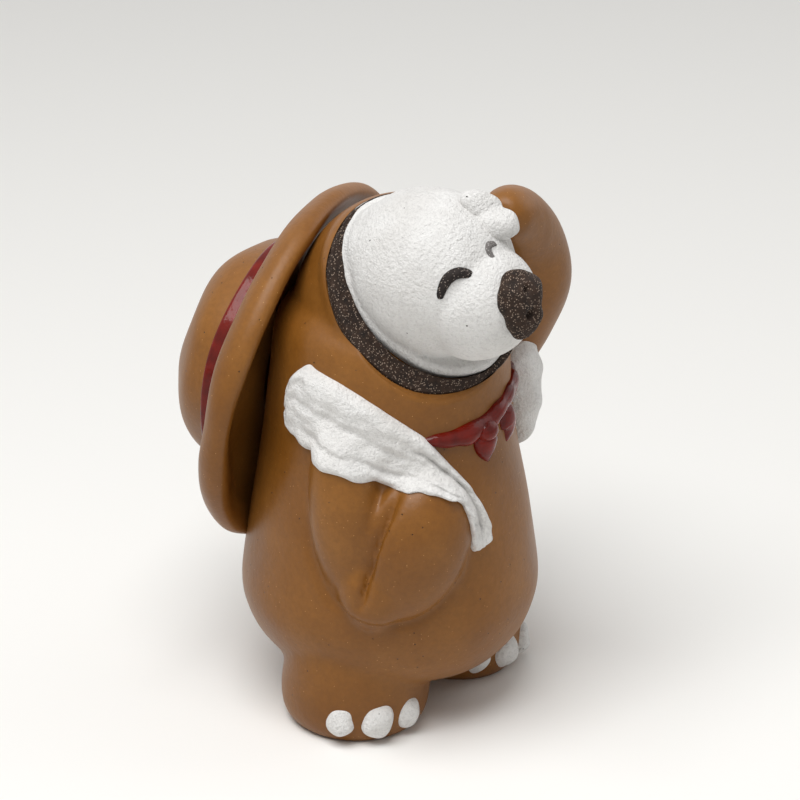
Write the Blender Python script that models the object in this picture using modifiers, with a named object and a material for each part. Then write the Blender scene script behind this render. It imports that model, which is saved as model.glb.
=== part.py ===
"""Clay tea pet: a plump animal that stands on two short feet, its hat slung on its back.

The pet is hand built from several clays and fired once. A hollow shell carries everything else:
legs, arms, a white face in a dark rim, toes, a red neckerchief and the hat. Each piece is luted to
its neighbour with slip, so nothing moves. Here each keeps a thin joint gap to what it sits on.

The pet faces -Y, its left is +X, and it stands on the plane z = 0. Lengths are in metres.
"""
import math

import bmesh
import bpy
from mathutils import Matrix, Vector

# Joints between pieces
JOINT_GAP = 0.0003
CUTTER_OVERRUN = 0.004
CLEAR_SHARE = 0.96

# Body shell: a turned torso and a ball for the head
BELLY_RADIUS = 0.0209
BELLY_HEIGHT = 0.0185
CHEST_RADIUS = 0.0173
CHEST_HEIGHT = 0.0416
NECK_RADIUS = 0.0162
NECK_HEIGHT = 0.0546
UNDERSIDE_RADIUS = 0.0120
UNDERSIDE_HEIGHT = 0.0062
TORSO_WALL = 0.0032
HEAD_RADIUS = 0.0154
HEAD_CENTRE = (0.0020, -0.0014, 0.0585)
HEAD_WALL = 0.0046
VENT_RADIUS = 0.0046
VENT_SETBACK = 0.0072

# Face: the head is turned to its right, thrown back and leant over
FACE_YAW = -21.0
FACE_PITCH = 34.0
FACE_ROLL = 32.0
FACE_DEPTH = 0.0073
RIM_SEAT_DEPTH = 0.0009
RIM_HEIGHT = 0.0019
RIM_ROUNDING = 0.0006
FLANGE_RADIUS = 0.0121
FLANGE_CENTRE = (-0.0004, 0.0006)
FLANGE_HEIGHT = 0.0017
BROW_RADII = (0.0114, 0.0117, 0.0126)
BROW_CENTRE = (0.0006, 0.0018, 0.0040)
MUZZLE_RADII = (0.0080, 0.0079, 0.0090)
MUZZLE_CENTRE = (-0.0002, -0.0044, 0.0090)
MASK_WALL = 0.0026

# Nose and closed eyes
NOSE_RADII = (0.0037, 0.0048, 0.0024)
NOSE_TAPER = 0.18
NOSE_DROOP = 24.0
NOSE_TURN = -32.0
NOSTRILS = ((0.0002, -0.0015, 0.0008), (-0.0007, 0.0024, 0.0006))
EYE_SPACING = 0.0079
EYE_CENTRE = (-0.0004, -0.0003)
EYE_LEAN = -5.0
EYE_WIDTH = 0.0040
EYE_ARCH = 0.0016
EYE_LINE = 0.0012

# Legs and toes
LEG_RIGHT_CENTRE = (-0.0103, -0.0023)
LEG_LEFT_CENTRE = (0.0125, -0.0018)
LEG_RIGHT_RADIUS = 0.0104
LEG_LEFT_RADIUS = 0.0100
SOLE_SHARE = 0.84
LEG_BULGE_HEIGHT = 0.0052
LEG_HEIGHT = 0.0190
TOE_RADII = (0.0023, 0.0025, 0.0020)
TOE_SPREAD = 29.0
TOE_HEIGHT = 0.0037
FOOT_TURN_RIGHT = -32.0
FOOT_TURN_LEFT = -3.0

# Arms: the right one lies on the belly, the left one is raised to the brow
UPPER_ARM_RADII = (0.0056, 0.0136, 0.0052)
UPPER_ARM_AZIMUTH = -70.0
UPPER_ARM_HEIGHT = 0.0331
UPPER_ARM_LEAN = 6.0
FOREARM_RADII = (0.0076, 0.0112, 0.0060)
FOREARM_AZIMUTH = -40.0
FOREARM_HEIGHT = 0.0304
FOREARM_LEAN = -16.0
ARM_SINK = 0.0008
BAND_RIGHT_THICKNESS = 0.0019
BAND_RIGHT_ROOT = 0.0012
BAND_LEFT_RADIUS = 0.0036
RAISED_ARM_RADIUS = 0.0058
FINGER_RADII = (0.0025, 0.0037, 0.0022)
FINGERS = ((0.0073, 0.0045), (0.0072, 0.0009))
FINGER_TURN = 41.0
FINGER_LIFT = 0.0008

# Hat, slung on the back
HAT_HEIGHT = 0.0456
HAT_AZIMUTH = 179.0
HAT_STAND_OFF = 0.0009
HAT_YAW = 192.7
HAT_PITCH = 8.6
BRIM_RADIUS = 0.0258
BRIM_HOLE_RADIUS = 0.0130
BRIM_THICKNESS = 0.0030
BRIM_DISH = 0.0026
CROWN_RADIUS = 0.0166
CROWN_HEIGHT = 0.0114
CROWN_WALL = 0.0024
CROWN_DROP = 0.0007
RIBBON_WIDTH = 0.0018
RIBBON_THICKNESS = 0.0010

# Neckerchief
KERCHIEF_RADIUS = 0.0015
KERCHIEF_HEIGHT = 0.0457
KNOT_AZIMUTH = 6.0
KNOT_RADIUS = 0.0018
TAIL_RADIUS = 0.0020
TAIL_LENGTH = 0.0046

# Facets
SEGMENTS = 32
BALL_SEGMENTS = 22
SMALL_BALL_SEGMENTS = 14
BAND_RIGHT_FACETS = 9


# Scene and collections

for old in list(bpy.data.objects):
    bpy.data.objects.remove(old, do_unlink=True)

parts = bpy.data.collections.new("clay_tea_pet")
cutters = bpy.data.collections.new("cutters")
bpy.context.scene.collection.children.link(parts)
bpy.context.scene.collection.children.link(cutters)

pet = bpy.data.objects.new("pet", None)
parts.objects.link(pet)


# Clays

def clay(name, red, green, blue, roughness):
    """One fired clay or slip as a Principled material."""
    material = bpy.data.materials.new(name)
    material.use_nodes = True
    shader = material.node_tree.nodes["Principled BSDF"]
    shader.inputs["Base Color"].default_value = (red, green, blue, 1.0)
    shader.inputs["Roughness"].default_value = roughness
    shader.inputs["Metallic"].default_value = 0.0
    return material


OCHRE_CLAY = clay("ochre_clay", 0.36, 0.17, 0.055, 0.42)
WHITE_SLIP = clay("white_slip", 0.74, 0.72, 0.69, 0.80)
DARK_CLAY = clay("dark_sand_clay", 0.065, 0.045, 0.036, 0.70)
RED_SLIP = clay("red_slip", 0.26, 0.020, 0.011, 0.28)


# Placing and shaping

def facing(origin, yaw, pitch=0.0, roll=0.0):
    """Frame with +Z looking out along yaw and pitch, +Y up and +X to the pet's left."""
    turn = Matrix.Rotation(math.radians(yaw), 4, "Z")
    tip = Matrix.Rotation(math.radians(90.0 - pitch), 4, "X")
    lean = Matrix.Rotation(math.radians(roll), 4, "Z")
    return Matrix.Translation(origin) @ turn @ tip @ lean


def around(azimuth, radius, height):
    """Point at an azimuth round the body's axis, counted from the front towards the pet's left."""
    angle = math.radians(azimuth)
    return Vector((radius * math.sin(angle), -radius * math.cos(angle), height))


def smooth_through(points, steps):
    """Points on a smooth curve through the given ones, of any dimension."""
    ends = [points[0]] + list(points) + [points[-1]]
    curve = []
    for a, b, c, d in zip(ends, ends[1:], ends[2:], ends[3:]):
        for step in range(steps):
            t = step / steps
            curve.append(tuple(
                0.5 * (2 * q + (r - p) * t + (2 * p - 5 * q + 4 * r - s) * t ** 2
                       + (3 * q - p - 3 * r + s) * t ** 3)
                for p, q, r, s in zip(a, b, c, d)))
    curve.append(tuple(points[-1]))
    return curve


def from_outline(point, outline):
    """Distance from a point to an outline."""
    point = Vector(point)
    distances = []
    for start, end in zip(outline, outline[1:]):
        start, side = Vector(start), Vector(end) - Vector(start)
        share = min(max((point - start).dot(side) / side.length_squared, 0.0), 1.0)
        distances.append((point - start - share * side).length)
    return min(distances)


def grown(outline, grow):
    """The (radius, height) outline of a solid of revolution, moved out square to itself."""
    moved = []
    for k, (radius, height) in enumerate(outline):
        before = Vector(outline[max(k - 1, 0)])
        after = Vector(outline[min(k + 1, len(outline) - 1)])
        along = (after - before).normalized()
        if radius == 0.0:
            moved.append((0.0, height + (grow if k == 0 else -grow)))
        else:
            moved.append((radius - along.y * grow, height + along.x * grow))
    return [point for point in moved if from_outline(point, outline) >= CLEAR_SHARE * abs(grow)]


def add_object(name, mesh, place, material, collection):
    """An object that rides on the pet's empty, as a part or as a hidden cutter."""
    thing = bpy.data.objects.new(name, mesh)
    collection.objects.link(thing)
    thing.parent = pet
    thing.matrix_local = place
    if collection is cutters:
        thing.hide_render = True
        thing.display_type = "WIRE"
    else:
        mesh.materials.append(material)
    return thing


def ball(name, radii, place, material=None, collection=cutters, grow=0.0, segments=BALL_SEGMENTS):
    """An egg of clay with three radii."""
    mesh = bpy.data.meshes.new(name)
    bm = bmesh.new()
    bmesh.ops.create_uvsphere(bm, u_segments=segments, v_segments=segments // 2 + 1, radius=1.0)
    bmesh.ops.scale(bm, vec=[r + grow for r in radii], verts=bm.verts)
    bm.to_mesh(mesh)
    bm.free()
    mesh.shade_smooth()
    return add_object(name, mesh, place, material, collection)


def disc(name, radius, low, high, place, material=None, collection=cutters, rounding=0.0):
    """A round slab between two heights of its frame, its front edge rounded."""
    middle = (low + high) / 2
    mesh = bpy.data.meshes.new(name)
    bm = bmesh.new()
    bmesh.ops.create_cone(bm, cap_ends=True, segments=2 * SEGMENTS, radius1=radius, radius2=radius,
                          depth=high - low)
    bmesh.ops.translate(bm, vec=(0, 0, middle), verts=bm.verts)
    if rounding:
        front = [e for e in bm.edges if all(v.co.z > middle for v in e.verts)]
        bmesh.ops.bevel(bm, geom=front, offset=rounding, segments=3, affect="EDGES", profile=0.5)
    bm.to_mesh(mesh)
    bm.free()
    return add_object(name, mesh, place, material, collection)


def turned(name, outline, place, material=None, collection=cutters):
    """A shape turned about its frame's Z from (radius, height) points, down its outer side."""
    mesh = bpy.data.meshes.new(name)
    bm = bmesh.new()
    points = [bm.verts.new((radius, 0.0, height)) for radius, height in outline]
    for a, b in zip(points, points[1:]):
        bm.edges.new((a, b))
    if outline[0][0] > 0.0:
        bm.edges.new((points[-1], points[0]))
    bm.to_mesh(mesh)
    bm.free()
    thing = add_object(name, mesh, place, material, collection)
    screw = thing.modifiers.new("turn", "SCREW")
    screw.steps = SEGMENTS
    screw.render_steps = SEGMENTS
    screw.use_merge_vertices = True
    screw.merge_threshold = 0.00001
    screw.use_smooth_shade = True
    return thing


def coil(name, path, material=None, collection=cutters, grow=0.0, resolution=4, steps=3):
    """A hand-rolled coil: a tube that swells and tapers along (point, radius) pairs."""
    curve = bpy.data.curves.new(name + "_path", "CURVE")
    curve.dimensions = "3D"
    curve.bevel_depth = 1.0
    curve.bevel_resolution = resolution
    curve.use_fill_caps = True
    spline = curve.splines.new("POLY")
    rows = smooth_through([(*point, radius) for point, radius in path], steps)
    spline.points.add(len(rows) - 1)
    for point, (x, y, z, radius) in zip(spline.points, rows):
        point.co = (x, y, z, 1.0)
        point.radius = radius + grow
    guide = bpy.data.objects.new(name + "_path", curve)
    bpy.context.scene.collection.objects.link(guide)
    shape = guide.evaluated_get(bpy.context.evaluated_depsgraph_get())
    mesh = bpy.data.meshes.new_from_object(shape)
    bpy.data.objects.remove(guide)
    bm = bmesh.new()
    bm.from_mesh(mesh)
    bmesh.ops.remove_doubles(bm, verts=bm.verts, dist=0.000001)
    bmesh.ops.recalc_face_normals(bm, faces=bm.faces)
    bm.to_mesh(mesh)
    bm.free()
    mesh.materials.clear()
    mesh.shade_smooth()
    return add_object(name, mesh, Matrix(), material, collection)


def combine(thing, others, operation):
    """Adds one live exact Boolean for each of the others."""
    for other in others:
        step = thing.modifiers.new(other.name, "BOOLEAN")
        step.operation = operation
        step.solver = "EXACT"
        step.object = other


def cut(thing, *others):
    combine(thing, others, "DIFFERENCE")


def join(thing, *others):
    combine(thing, others, "UNION")


# Body shell: torso and head in one, hollow, with a firing vent below and a seat for the face

def torso_outline():
    """The torso from its top, which ends inside the head, down to its flat underside."""
    belly_rise = CHEST_HEIGHT - BELLY_HEIGHT
    belly_swell = BELLY_RADIUS - CHEST_RADIUS
    side = smooth_through([
        (0.72 * NECK_RADIUS, NECK_HEIGHT + 0.42 * NECK_RADIUS),
        (0.93 * NECK_RADIUS, NECK_HEIGHT + 0.23 * NECK_RADIUS),
        (NECK_RADIUS, NECK_HEIGHT),
        ((NECK_RADIUS + CHEST_RADIUS) / 2, (NECK_HEIGHT + CHEST_HEIGHT) / 2),
        (CHEST_RADIUS, CHEST_HEIGHT),
        (CHEST_RADIUS + 0.62 * belly_swell, BELLY_HEIGHT + 0.43 * belly_rise),
        (BELLY_RADIUS, BELLY_HEIGHT),
        (0.962 * BELLY_RADIUS, 0.75 * BELLY_HEIGHT),
        (0.885 * BELLY_RADIUS, 0.57 * BELLY_HEIGHT),
        (0.765 * BELLY_RADIUS, 0.43 * BELLY_HEIGHT),
        (UNDERSIDE_RADIUS, UNDERSIDE_HEIGHT),
    ], 3)
    return [(0.0, NECK_HEIGHT + 0.52 * NECK_RADIUS)] + side + [(0.0, UNDERSIDE_HEIGHT)]


TORSO_OUTLINE = torso_outline()


def torso_radius(height):
    """The torso's radius at a height, between its underside and its neck."""
    side = TORSO_OUTLINE[1:-1]
    for (r_high, z_high), (r_low, z_low) in zip(side, side[1:]):
        if z_low <= height <= z_high:
            return r_low + (r_high - r_low) * (height - z_low) / (z_high - z_low)
    return side[0][0] if height > side[0][1] else side[-1][0]


def on_torso(azimuth, height, lift=0.0):
    """Point at a height over the torso's skin."""
    return around(azimuth, torso_radius(height) + lift, height)


def on_head(azimuth, elevation, lift=0.0):
    """Point over the head's skin, seen from the head's centre."""
    rise = math.radians(elevation)
    reach = HEAD_RADIUS + lift
    return Vector(HEAD_CENTRE) + around(azimuth, reach * math.cos(rise), reach * math.sin(rise))


def torso(name, grow=0.0, material=None, collection=cutters):
    return turned(name, grown(TORSO_OUTLINE, grow), Matrix(), material, collection)


def head(name, grow=0.0):
    return ball(name, [HEAD_RADIUS] * 3, Matrix.Translation(HEAD_CENTRE), grow=grow)


FACE = facing(HEAD_CENTRE, FACE_YAW, FACE_PITCH, FACE_ROLL) @ Matrix.Translation((0, 0, FACE_DEPTH))
SEAT_RADIUS = math.sqrt(HEAD_RADIUS ** 2 - (FACE_DEPTH - RIM_SEAT_DEPTH) ** 2)
RIM_RADIUS = SEAT_RADIUS - JOINT_GAP / 2

hollow = torso("hollow", -TORSO_WALL)
join(hollow, head("head_hollow", -HEAD_WALL),
     disc("vent", VENT_RADIUS, 0.0, UNDERSIDE_HEIGHT + TORSO_WALL + CUTTER_OVERRUN,
          Matrix.Translation((0, VENT_SETBACK, 0))))
body_shell = torso("body_shell", 0.0, OCHRE_CLAY, parts)
join(body_shell, head("head_ball"))
cut(body_shell, hollow,
    disc("face_seat", RIM_RADIUS + JOINT_GAP, -RIM_SEAT_DEPTH, HEAD_RADIUS, FACE))
body_space = (torso("torso_space", JOINT_GAP), head("head_space", JOINT_GAP))


# Legs with flat soles, and three toes pressed on each foot

def leg_outline(radius):
    ankle = LEG_HEIGHT - LEG_BULGE_HEIGHT
    side = smooth_through([
        (0.82 * radius, LEG_HEIGHT),
        (0.86 * radius, LEG_BULGE_HEIGHT + 0.66 * ankle),
        (0.94 * radius, LEG_BULGE_HEIGHT + 0.36 * ankle),
        (radius, LEG_BULGE_HEIGHT),
        (0.96 * radius, 0.33 * LEG_BULGE_HEIGHT),
        (SOLE_SHARE * radius, 0.0),
    ], 3)
    return [(0.0, LEG_HEIGHT)] + side + [(0.0, 0.0)]


for side, out, centre, radius, foot_turn in (
        ("right", -1, LEG_RIGHT_CENTRE, LEG_RIGHT_RADIUS, FOOT_TURN_RIGHT),
        ("left", 1, LEG_LEFT_CENTRE, LEG_LEFT_RADIUS, FOOT_TURN_LEFT)):
    ankle_place = Matrix.Translation((*centre, 0.0))
    leg = turned("leg_" + side, leg_outline(radius), ankle_place, OCHRE_CLAY, parts)
    cut(leg, *body_space)
    leg_space = turned("leg_space_" + side, grown(leg_outline(radius), JOINT_GAP), ankle_place)
    for toe, step in (("inner", -out), ("middle", 0), ("outer", out)):
        foot = facing((*centre, TOE_HEIGHT), foot_turn + TOE_SPREAD * step)
        place = foot @ Matrix.Translation((0, 0, 0.94 * radius))
        pad = ball("toe_" + side + "_" + toe, TOE_RADII, place, WHITE_SLIP, parts,
                   segments=SMALL_BALL_SEGMENTS)
        cut(pad, leg_space, *body_space)


# Face: a white hollow mask on the seat, a dark rim round it, a nose and two inlaid eyes

FLOOR = JOINT_GAP - RIM_SEAT_DEPTH


def on_face(x, y, z):
    """A place in the face's frame: left, up and out of the rim's plane."""
    return FACE @ Matrix.Translation((x, y, z))


def mask_forms(tag, grow):
    """Brow, muzzle and the flange that stands inside the rim."""
    flange = disc("flange_" + tag, FLANGE_RADIUS + grow, FLOOR - grow, FLOOR + FLANGE_HEIGHT + grow,
                  on_face(*FLANGE_CENTRE, 0))
    brow = ball("brow_" + tag, BROW_RADII, on_face(*BROW_CENTRE), grow=grow)
    muzzle = ball("muzzle_" + tag, MUZZLE_RADII, on_face(*MUZZLE_CENTRE), grow=grow)
    return flange, brow, muzzle


def face_height(x, y):
    """Height of the mask over the rim's plane at a place on the face."""
    heights = []
    for (cx, cy, cz), (rx, ry, rz) in ((BROW_CENTRE, BROW_RADII), (MUZZLE_CENTRE, MUZZLE_RADII)):
        inside = 1.0 - ((x - cx) / rx) ** 2 - ((y - cy) / ry) ** 2
        if inside > 0.0:
            heights.append(cz + rz * math.sqrt(inside))
    return max(heights)


mask_space = mask_forms("space", JOINT_GAP)
face_rim = disc("face_rim", RIM_RADIUS, FLOOR, FLOOR + RIM_HEIGHT, FACE, DARK_CLAY, parts,
                RIM_ROUNDING)
cut(face_rim, *mask_space)
rim_space = disc("rim_space", RIM_RADIUS + JOINT_GAP, FLOOR, FLOOR + RIM_HEIGHT + JOINT_GAP, FACE)

face_mask = disc("face_mask", FLANGE_RADIUS, FLOOR, FLOOR + FLANGE_HEIGHT,
                 on_face(*FLANGE_CENTRE, 0), WHITE_SLIP, parts, RIM_ROUNDING)
join(face_mask, *mask_forms("form", 0.0)[1:])
cut(face_mask, disc("mask_floor", HEAD_RADIUS, -2 * HEAD_RADIUS, FLOOR, FACE),
    *mask_forms("hollow", -MASK_WALL)[1:])


def eye_path(out):
    """A closed eye: a low arch laid on the mask, on the pet's right (-1) or left (1)."""
    path = []
    lean = Matrix.Rotation(math.radians(EYE_LEAN), 2)
    for k in range(9):
        angle = math.pi * k / 8
        x, y = Vector(EYE_CENTRE) + lean @ Vector((
            out * EYE_SPACING / 2 - EYE_WIDTH / 2 * math.cos(angle), EYE_ARCH * math.sin(angle)))
        place = FACE @ Vector((x, y, face_height(x, y) - 0.15 * EYE_LINE))
        path.append((place, EYE_LINE / 2))
    return path


eye_grooves = []
for side, out in (("right", -1), ("left", 1)):
    eye = coil("eye_" + side, eye_path(out), DARK_CLAY, parts, resolution=2, steps=1)
    eye_grooves.append(
        coil("eye_groove_" + side, eye_path(out), grow=JOINT_GAP, resolution=2, steps=1))
cut(face_mask, *eye_grooves)

droop = math.radians(NOSE_DROOP)
nose_foot = on_face(*MUZZLE_CENTRE) @ Matrix.Translation(
    (0, -MUZZLE_RADII[1] * math.sin(droop), MUZZLE_RADII[2] * math.cos(droop)))
nose_place = (nose_foot @ Matrix.Rotation(droop, 4, "X")
              @ Matrix.Rotation(math.radians(NOSE_TURN), 4, "Z"))
nose = ball("nose", NOSE_RADII, nose_place, DARK_CLAY, parts)
for vertex in nose.data.vertices:
    vertex.co.x *= 1 + NOSE_TAPER * vertex.co.y / NOSE_RADII[1]
cut(nose, *mask_space)
for x, y, radius in NOSTRILS:
    depth = math.sqrt(1 - (x / NOSE_RADII[0]) ** 2 - (y / NOSE_RADII[1]) ** 2)
    tip = nose_place @ Matrix.Translation((x, y, depth * NOSE_RADII[2]))
    cut(nose, ball("nostril", [radius] * 3, tip, segments=SMALL_BALL_SEGMENTS))


# Right arm: upper arm and forearm hang as two lobes, and a white strip runs over them to the belly.
# Its rows give azimuth and height of the upper and the lower edge, how far the lower edge climbs the
# arm, and how full the strip is. Heights are shares of the way from the forearm to the neck.

BAND_RIGHT = (
    (-105, 0.80, -106, 0.66, 0.00, 0.40),
    (-100, 0.95, -102, 0.57, 0.10, 0.90),
    (-90, 1.01, -93, 0.52, 0.35, 1.00),
    (-77, 0.97, -82, 0.50, 0.80, 1.00),
    (-62, 0.89, -69, 0.48, 0.95, 1.00),
    (-48, 0.78, -56, 0.41, 0.85, 1.00),
    (-34, 0.65, -41, 0.38, 0.85, 1.00),
    (-22, 0.49, -29, 0.35, 0.85, 0.95),
    (-13, 0.34, -22, 0.28, 0.50, 0.90),
    (-7, 0.19, -19, 0.15, 0.20, 0.85),
    (-5, 0.06, -17, 0.04, 0.00, 0.75),
    (-7, -0.03, -14, -0.03, 0.00, 0.40))


UPPER_ARM = facing(on_torso(UPPER_ARM_AZIMUTH, UPPER_ARM_HEIGHT, -ARM_SINK),
                   UPPER_ARM_AZIMUTH, 0.0, UPPER_ARM_LEAN)
FOREARM = facing(on_torso(FOREARM_AZIMUTH, FOREARM_HEIGHT, -ARM_SINK),
                 FOREARM_AZIMUTH, 0.0, FOREARM_LEAN)

arm_right = ball("arm_right", UPPER_ARM_RADII, UPPER_ARM, OCHRE_CLAY, parts)
join(arm_right, ball("forearm_form", FOREARM_RADII, FOREARM))
cut(arm_right, *body_space)
arm_right_space = (ball("upper_arm_space", UPPER_ARM_RADII, UPPER_ARM, grow=JOINT_GAP),
                   ball("forearm_space", FOREARM_RADII, FOREARM, grow=JOINT_GAP))


def strip(name, material=None, collection=cutters, grow=0.0):
    """The strip over the right arm, lofted from its upper long edge to its lower one."""
    rise = NECK_HEIGHT - FOREARM_HEIGHT
    arm_lift = UPPER_ARM_RADII[2] - ARM_SINK
    sections = []
    bm = bmesh.new()
    for row in smooth_through(BAND_RIGHT, 2):
        azimuth_a, share_a, azimuth_b, share_b, over_arm, fullness = row
        outside, inside = [], []
        for k in range(BAND_RIGHT_FACETS + 1):
            across = k / BAND_RIGHT_FACETS
            bulge = math.sqrt(1 - abs(2 * across - 1) ** 2.5) * BAND_RIGHT_THICKNESS * fullness
            azimuth = azimuth_a + (azimuth_b - azimuth_a) * across
            height = FOREARM_HEIGHT + rise * (share_a + (share_b - share_a) * across)
            lift = arm_lift * over_arm * across
            outside.append(bm.verts.new(on_torso(azimuth, height, lift + bulge + grow)))
            inside.append(bm.verts.new(on_torso(azimuth, height, -BAND_RIGHT_ROOT)))
        sections.append(outside + inside[::-1])
    for before, after in zip(sections, sections[1:]):
        for k in range(len(before)):
            bm.faces.new((before[k - 1], before[k], after[k], after[k - 1]))
    bm.faces.new(sections[0])
    bm.faces.new(sections[-1])
    bmesh.ops.recalc_face_normals(bm, faces=bm.faces)
    mesh = bpy.data.meshes.new(name)
    bm.to_mesh(mesh)
    bm.free()
    mesh.shade_smooth()
    return add_object(name, mesh, Matrix(), material, collection)


band_right = strip("arm_band_right", WHITE_SLIP, parts)
band_right_space = strip("band_right_space", grow=JOINT_GAP)
cut(band_right, *body_space, *arm_right_space)


# Left arm: raised past the cheek, its paw resting on the brow, with a white band at the shoulder

def on_shoulder(azimuth, share, lift):
    """Point over the torso's skin at a share of the way from the chest to the neck."""
    return on_torso(azimuth, CHEST_HEIGHT + share * (NECK_HEIGHT - CHEST_HEIGHT), lift)


RAISED_ARM = [(point, width * RAISED_ARM_RADIUS) for point, width in (
    (on_shoulder(78, -0.16, -0.28 * RAISED_ARM_RADIUS), 0.30),
    (on_shoulder(77, 0.07, -0.03 * RAISED_ARM_RADIUS), 0.62),
    (on_shoulder(73, 0.45, 0.31 * RAISED_ARM_RADIUS), 0.80),
    (on_shoulder(69, 0.84, 0.69 * RAISED_ARM_RADIUS), 0.90),
    (on_head(65, 3, 0.62 * RAISED_ARM_RADIUS), 0.99),
    (on_head(57, 24, 0.59 * RAISED_ARM_RADIUS), 0.88),
    (on_head(42, 40, 0.69 * RAISED_ARM_RADIUS), 0.78),
    (on_head(24, 47, 0.86 * RAISED_ARM_RADIUS), 0.60),
    (on_head(16, 48, 0.93 * RAISED_ARM_RADIUS), 0.30))]
arm_left = coil("arm_left", RAISED_ARM, OCHRE_CLAY, parts, resolution=6, steps=2)
arm_left_space = coil("arm_left_space", RAISED_ARM, grow=JOINT_GAP, resolution=6, steps=2)
cut(arm_left, *body_space, rim_space, *mask_space)

BAND_LEFT = [(on_shoulder(azimuth, share, lift * BAND_LEFT_RADIUS), width * BAND_LEFT_RADIUS)
             for azimuth, share, lift, width in (
                 (61, -0.55, 0.06, 0.20),
                 (61, -0.42, 0.28, 0.62),
                 (60, -0.12, 0.44, 0.95),
                 (60, 0.22, 0.56, 1.00),
                 (59, 0.57, 0.56, 0.90),
                 (58, 0.76, 0.56, 0.50))]
band_left = coil("arm_band_left", BAND_LEFT, WHITE_SLIP, parts)
band_left_space = coil("band_left_space", BAND_LEFT, grow=JOINT_GAP)
cut(band_left, *body_space, arm_left_space)

finger_places = []
for x, y in FINGERS:
    lift = face_height(x, y) + FINGER_LIFT
    finger_places.append(on_face(x, y, lift) @ Matrix.Rotation(math.radians(FINGER_TURN), 4, "Z"))
paw_left = ball("paw_left", FINGER_RADII, finger_places[0], WHITE_SLIP, parts)
join(paw_left, ball("finger_form", FINGER_RADII, finger_places[1]))
cut(paw_left, *mask_space, *eye_grooves, arm_left_space)


# Hat: a dished brim against the back, a hollow crown on it and a ribbon round the crown's foot

HAT = facing(on_torso(HAT_AZIMUTH, HAT_HEIGHT, HAT_STAND_OFF), HAT_YAW, HAT_PITCH)
BRIM_BACK = BRIM_THICKNESS
CROWN_FOOT = BRIM_BACK + JOINT_GAP
CROWN = HAT @ Matrix.Translation((0, -CROWN_DROP, 0))

brim_section = smooth_through([
    (BRIM_HOLE_RADIUS, BRIM_BACK),
    (CROWN_RADIUS + RIBBON_THICKNESS, BRIM_BACK - 0.04 * BRIM_DISH),
    (0.92 * BRIM_RADIUS, BRIM_BACK - 0.80 * BRIM_DISH),
    (0.985 * BRIM_RADIUS, BRIM_BACK - 1.15 * BRIM_DISH),
    (BRIM_RADIUS, BRIM_BACK - 1.55 * BRIM_DISH),
    (0.975 * BRIM_RADIUS, -0.85 * BRIM_DISH),
    (0.90 * BRIM_RADIUS, -0.72 * BRIM_DISH),
    (0.72 * BRIM_RADIUS, -0.15 * BRIM_DISH),
    (BRIM_HOLE_RADIUS, 0.0),
], 2)
hat_brim = turned("hat_brim", brim_section, HAT, OCHRE_CLAY, parts)
cut(hat_brim, *body_space)

crown_top = CROWN_FOOT + CROWN_HEIGHT
crown_outline = [(0.0, crown_top)] + smooth_through([
    (0.30 * CROWN_RADIUS, crown_top - 0.035 * CROWN_HEIGHT),
    (0.56 * CROWN_RADIUS, crown_top - 0.13 * CROWN_HEIGHT),
    (0.78 * CROWN_RADIUS, crown_top - 0.29 * CROWN_HEIGHT),
    (0.93 * CROWN_RADIUS, crown_top - 0.50 * CROWN_HEIGHT),
    (CROWN_RADIUS, CROWN_FOOT + 0.20 * CROWN_HEIGHT),
    (CROWN_RADIUS, CROWN_FOOT),
], 2)
lining = [(radius * (1 - CROWN_WALL / CROWN_RADIUS),
           CROWN_FOOT + (height - CROWN_FOOT) * (1 - CROWN_WALL / CROWN_HEIGHT))
          for radius, height in reversed(crown_outline)]
hat_crown = turned("hat_crown", crown_outline + lining, CROWN, OCHRE_CLAY, parts)

ribbon_inside = CROWN_RADIUS + JOINT_GAP
ribbon_section = [
    (ribbon_inside, CROWN_FOOT + RIBBON_WIDTH),
    (ribbon_inside + 0.7 * RIBBON_THICKNESS, CROWN_FOOT + RIBBON_WIDTH),
    (ribbon_inside + RIBBON_THICKNESS, CROWN_FOOT + 0.8 * RIBBON_WIDTH),
    (ribbon_inside + RIBBON_THICKNESS, CROWN_FOOT + 0.2 * RIBBON_WIDTH),
    (ribbon_inside + 0.7 * RIBBON_THICKNESS, CROWN_FOOT),
    (ribbon_inside, CROWN_FOOT),
]
hat_ribbon = turned("hat_ribbon", ribbon_section, CROWN, RED_SLIP, parts)


# Neckerchief: a rolled band between the arms, a knot and two leaf-shaped tails

KERCHIEF = [(on_torso(azimuth, KERCHIEF_HEIGHT + rise * KERCHIEF_RADIUS), width * KERCHIEF_RADIUS)
            for azimuth, rise, width in (
                (-42, -0.47, 0.30),
                (-31, -0.20, 0.50),
                (-21, -0.27, 0.80),
                (-10, -0.33, 1.00),
                (0, 0.0, 1.05),
                (10, 0.60, 1.00),
                (21, 1.00, 0.95),
                (32, 1.33, 0.85),
                (46, 1.47, 0.80),
                (58, 1.47, 0.70))]
kerchief = coil("neckerchief_band", KERCHIEF, RED_SLIP, parts, resolution=2, steps=2)
kerchief_space = coil("kerchief_space", KERCHIEF, grow=JOINT_GAP, resolution=2, steps=2)
chest_space = (*body_space, rim_space, *mask_space, band_left_space)
cut(kerchief, *chest_space, band_right_space, arm_left_space)

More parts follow.
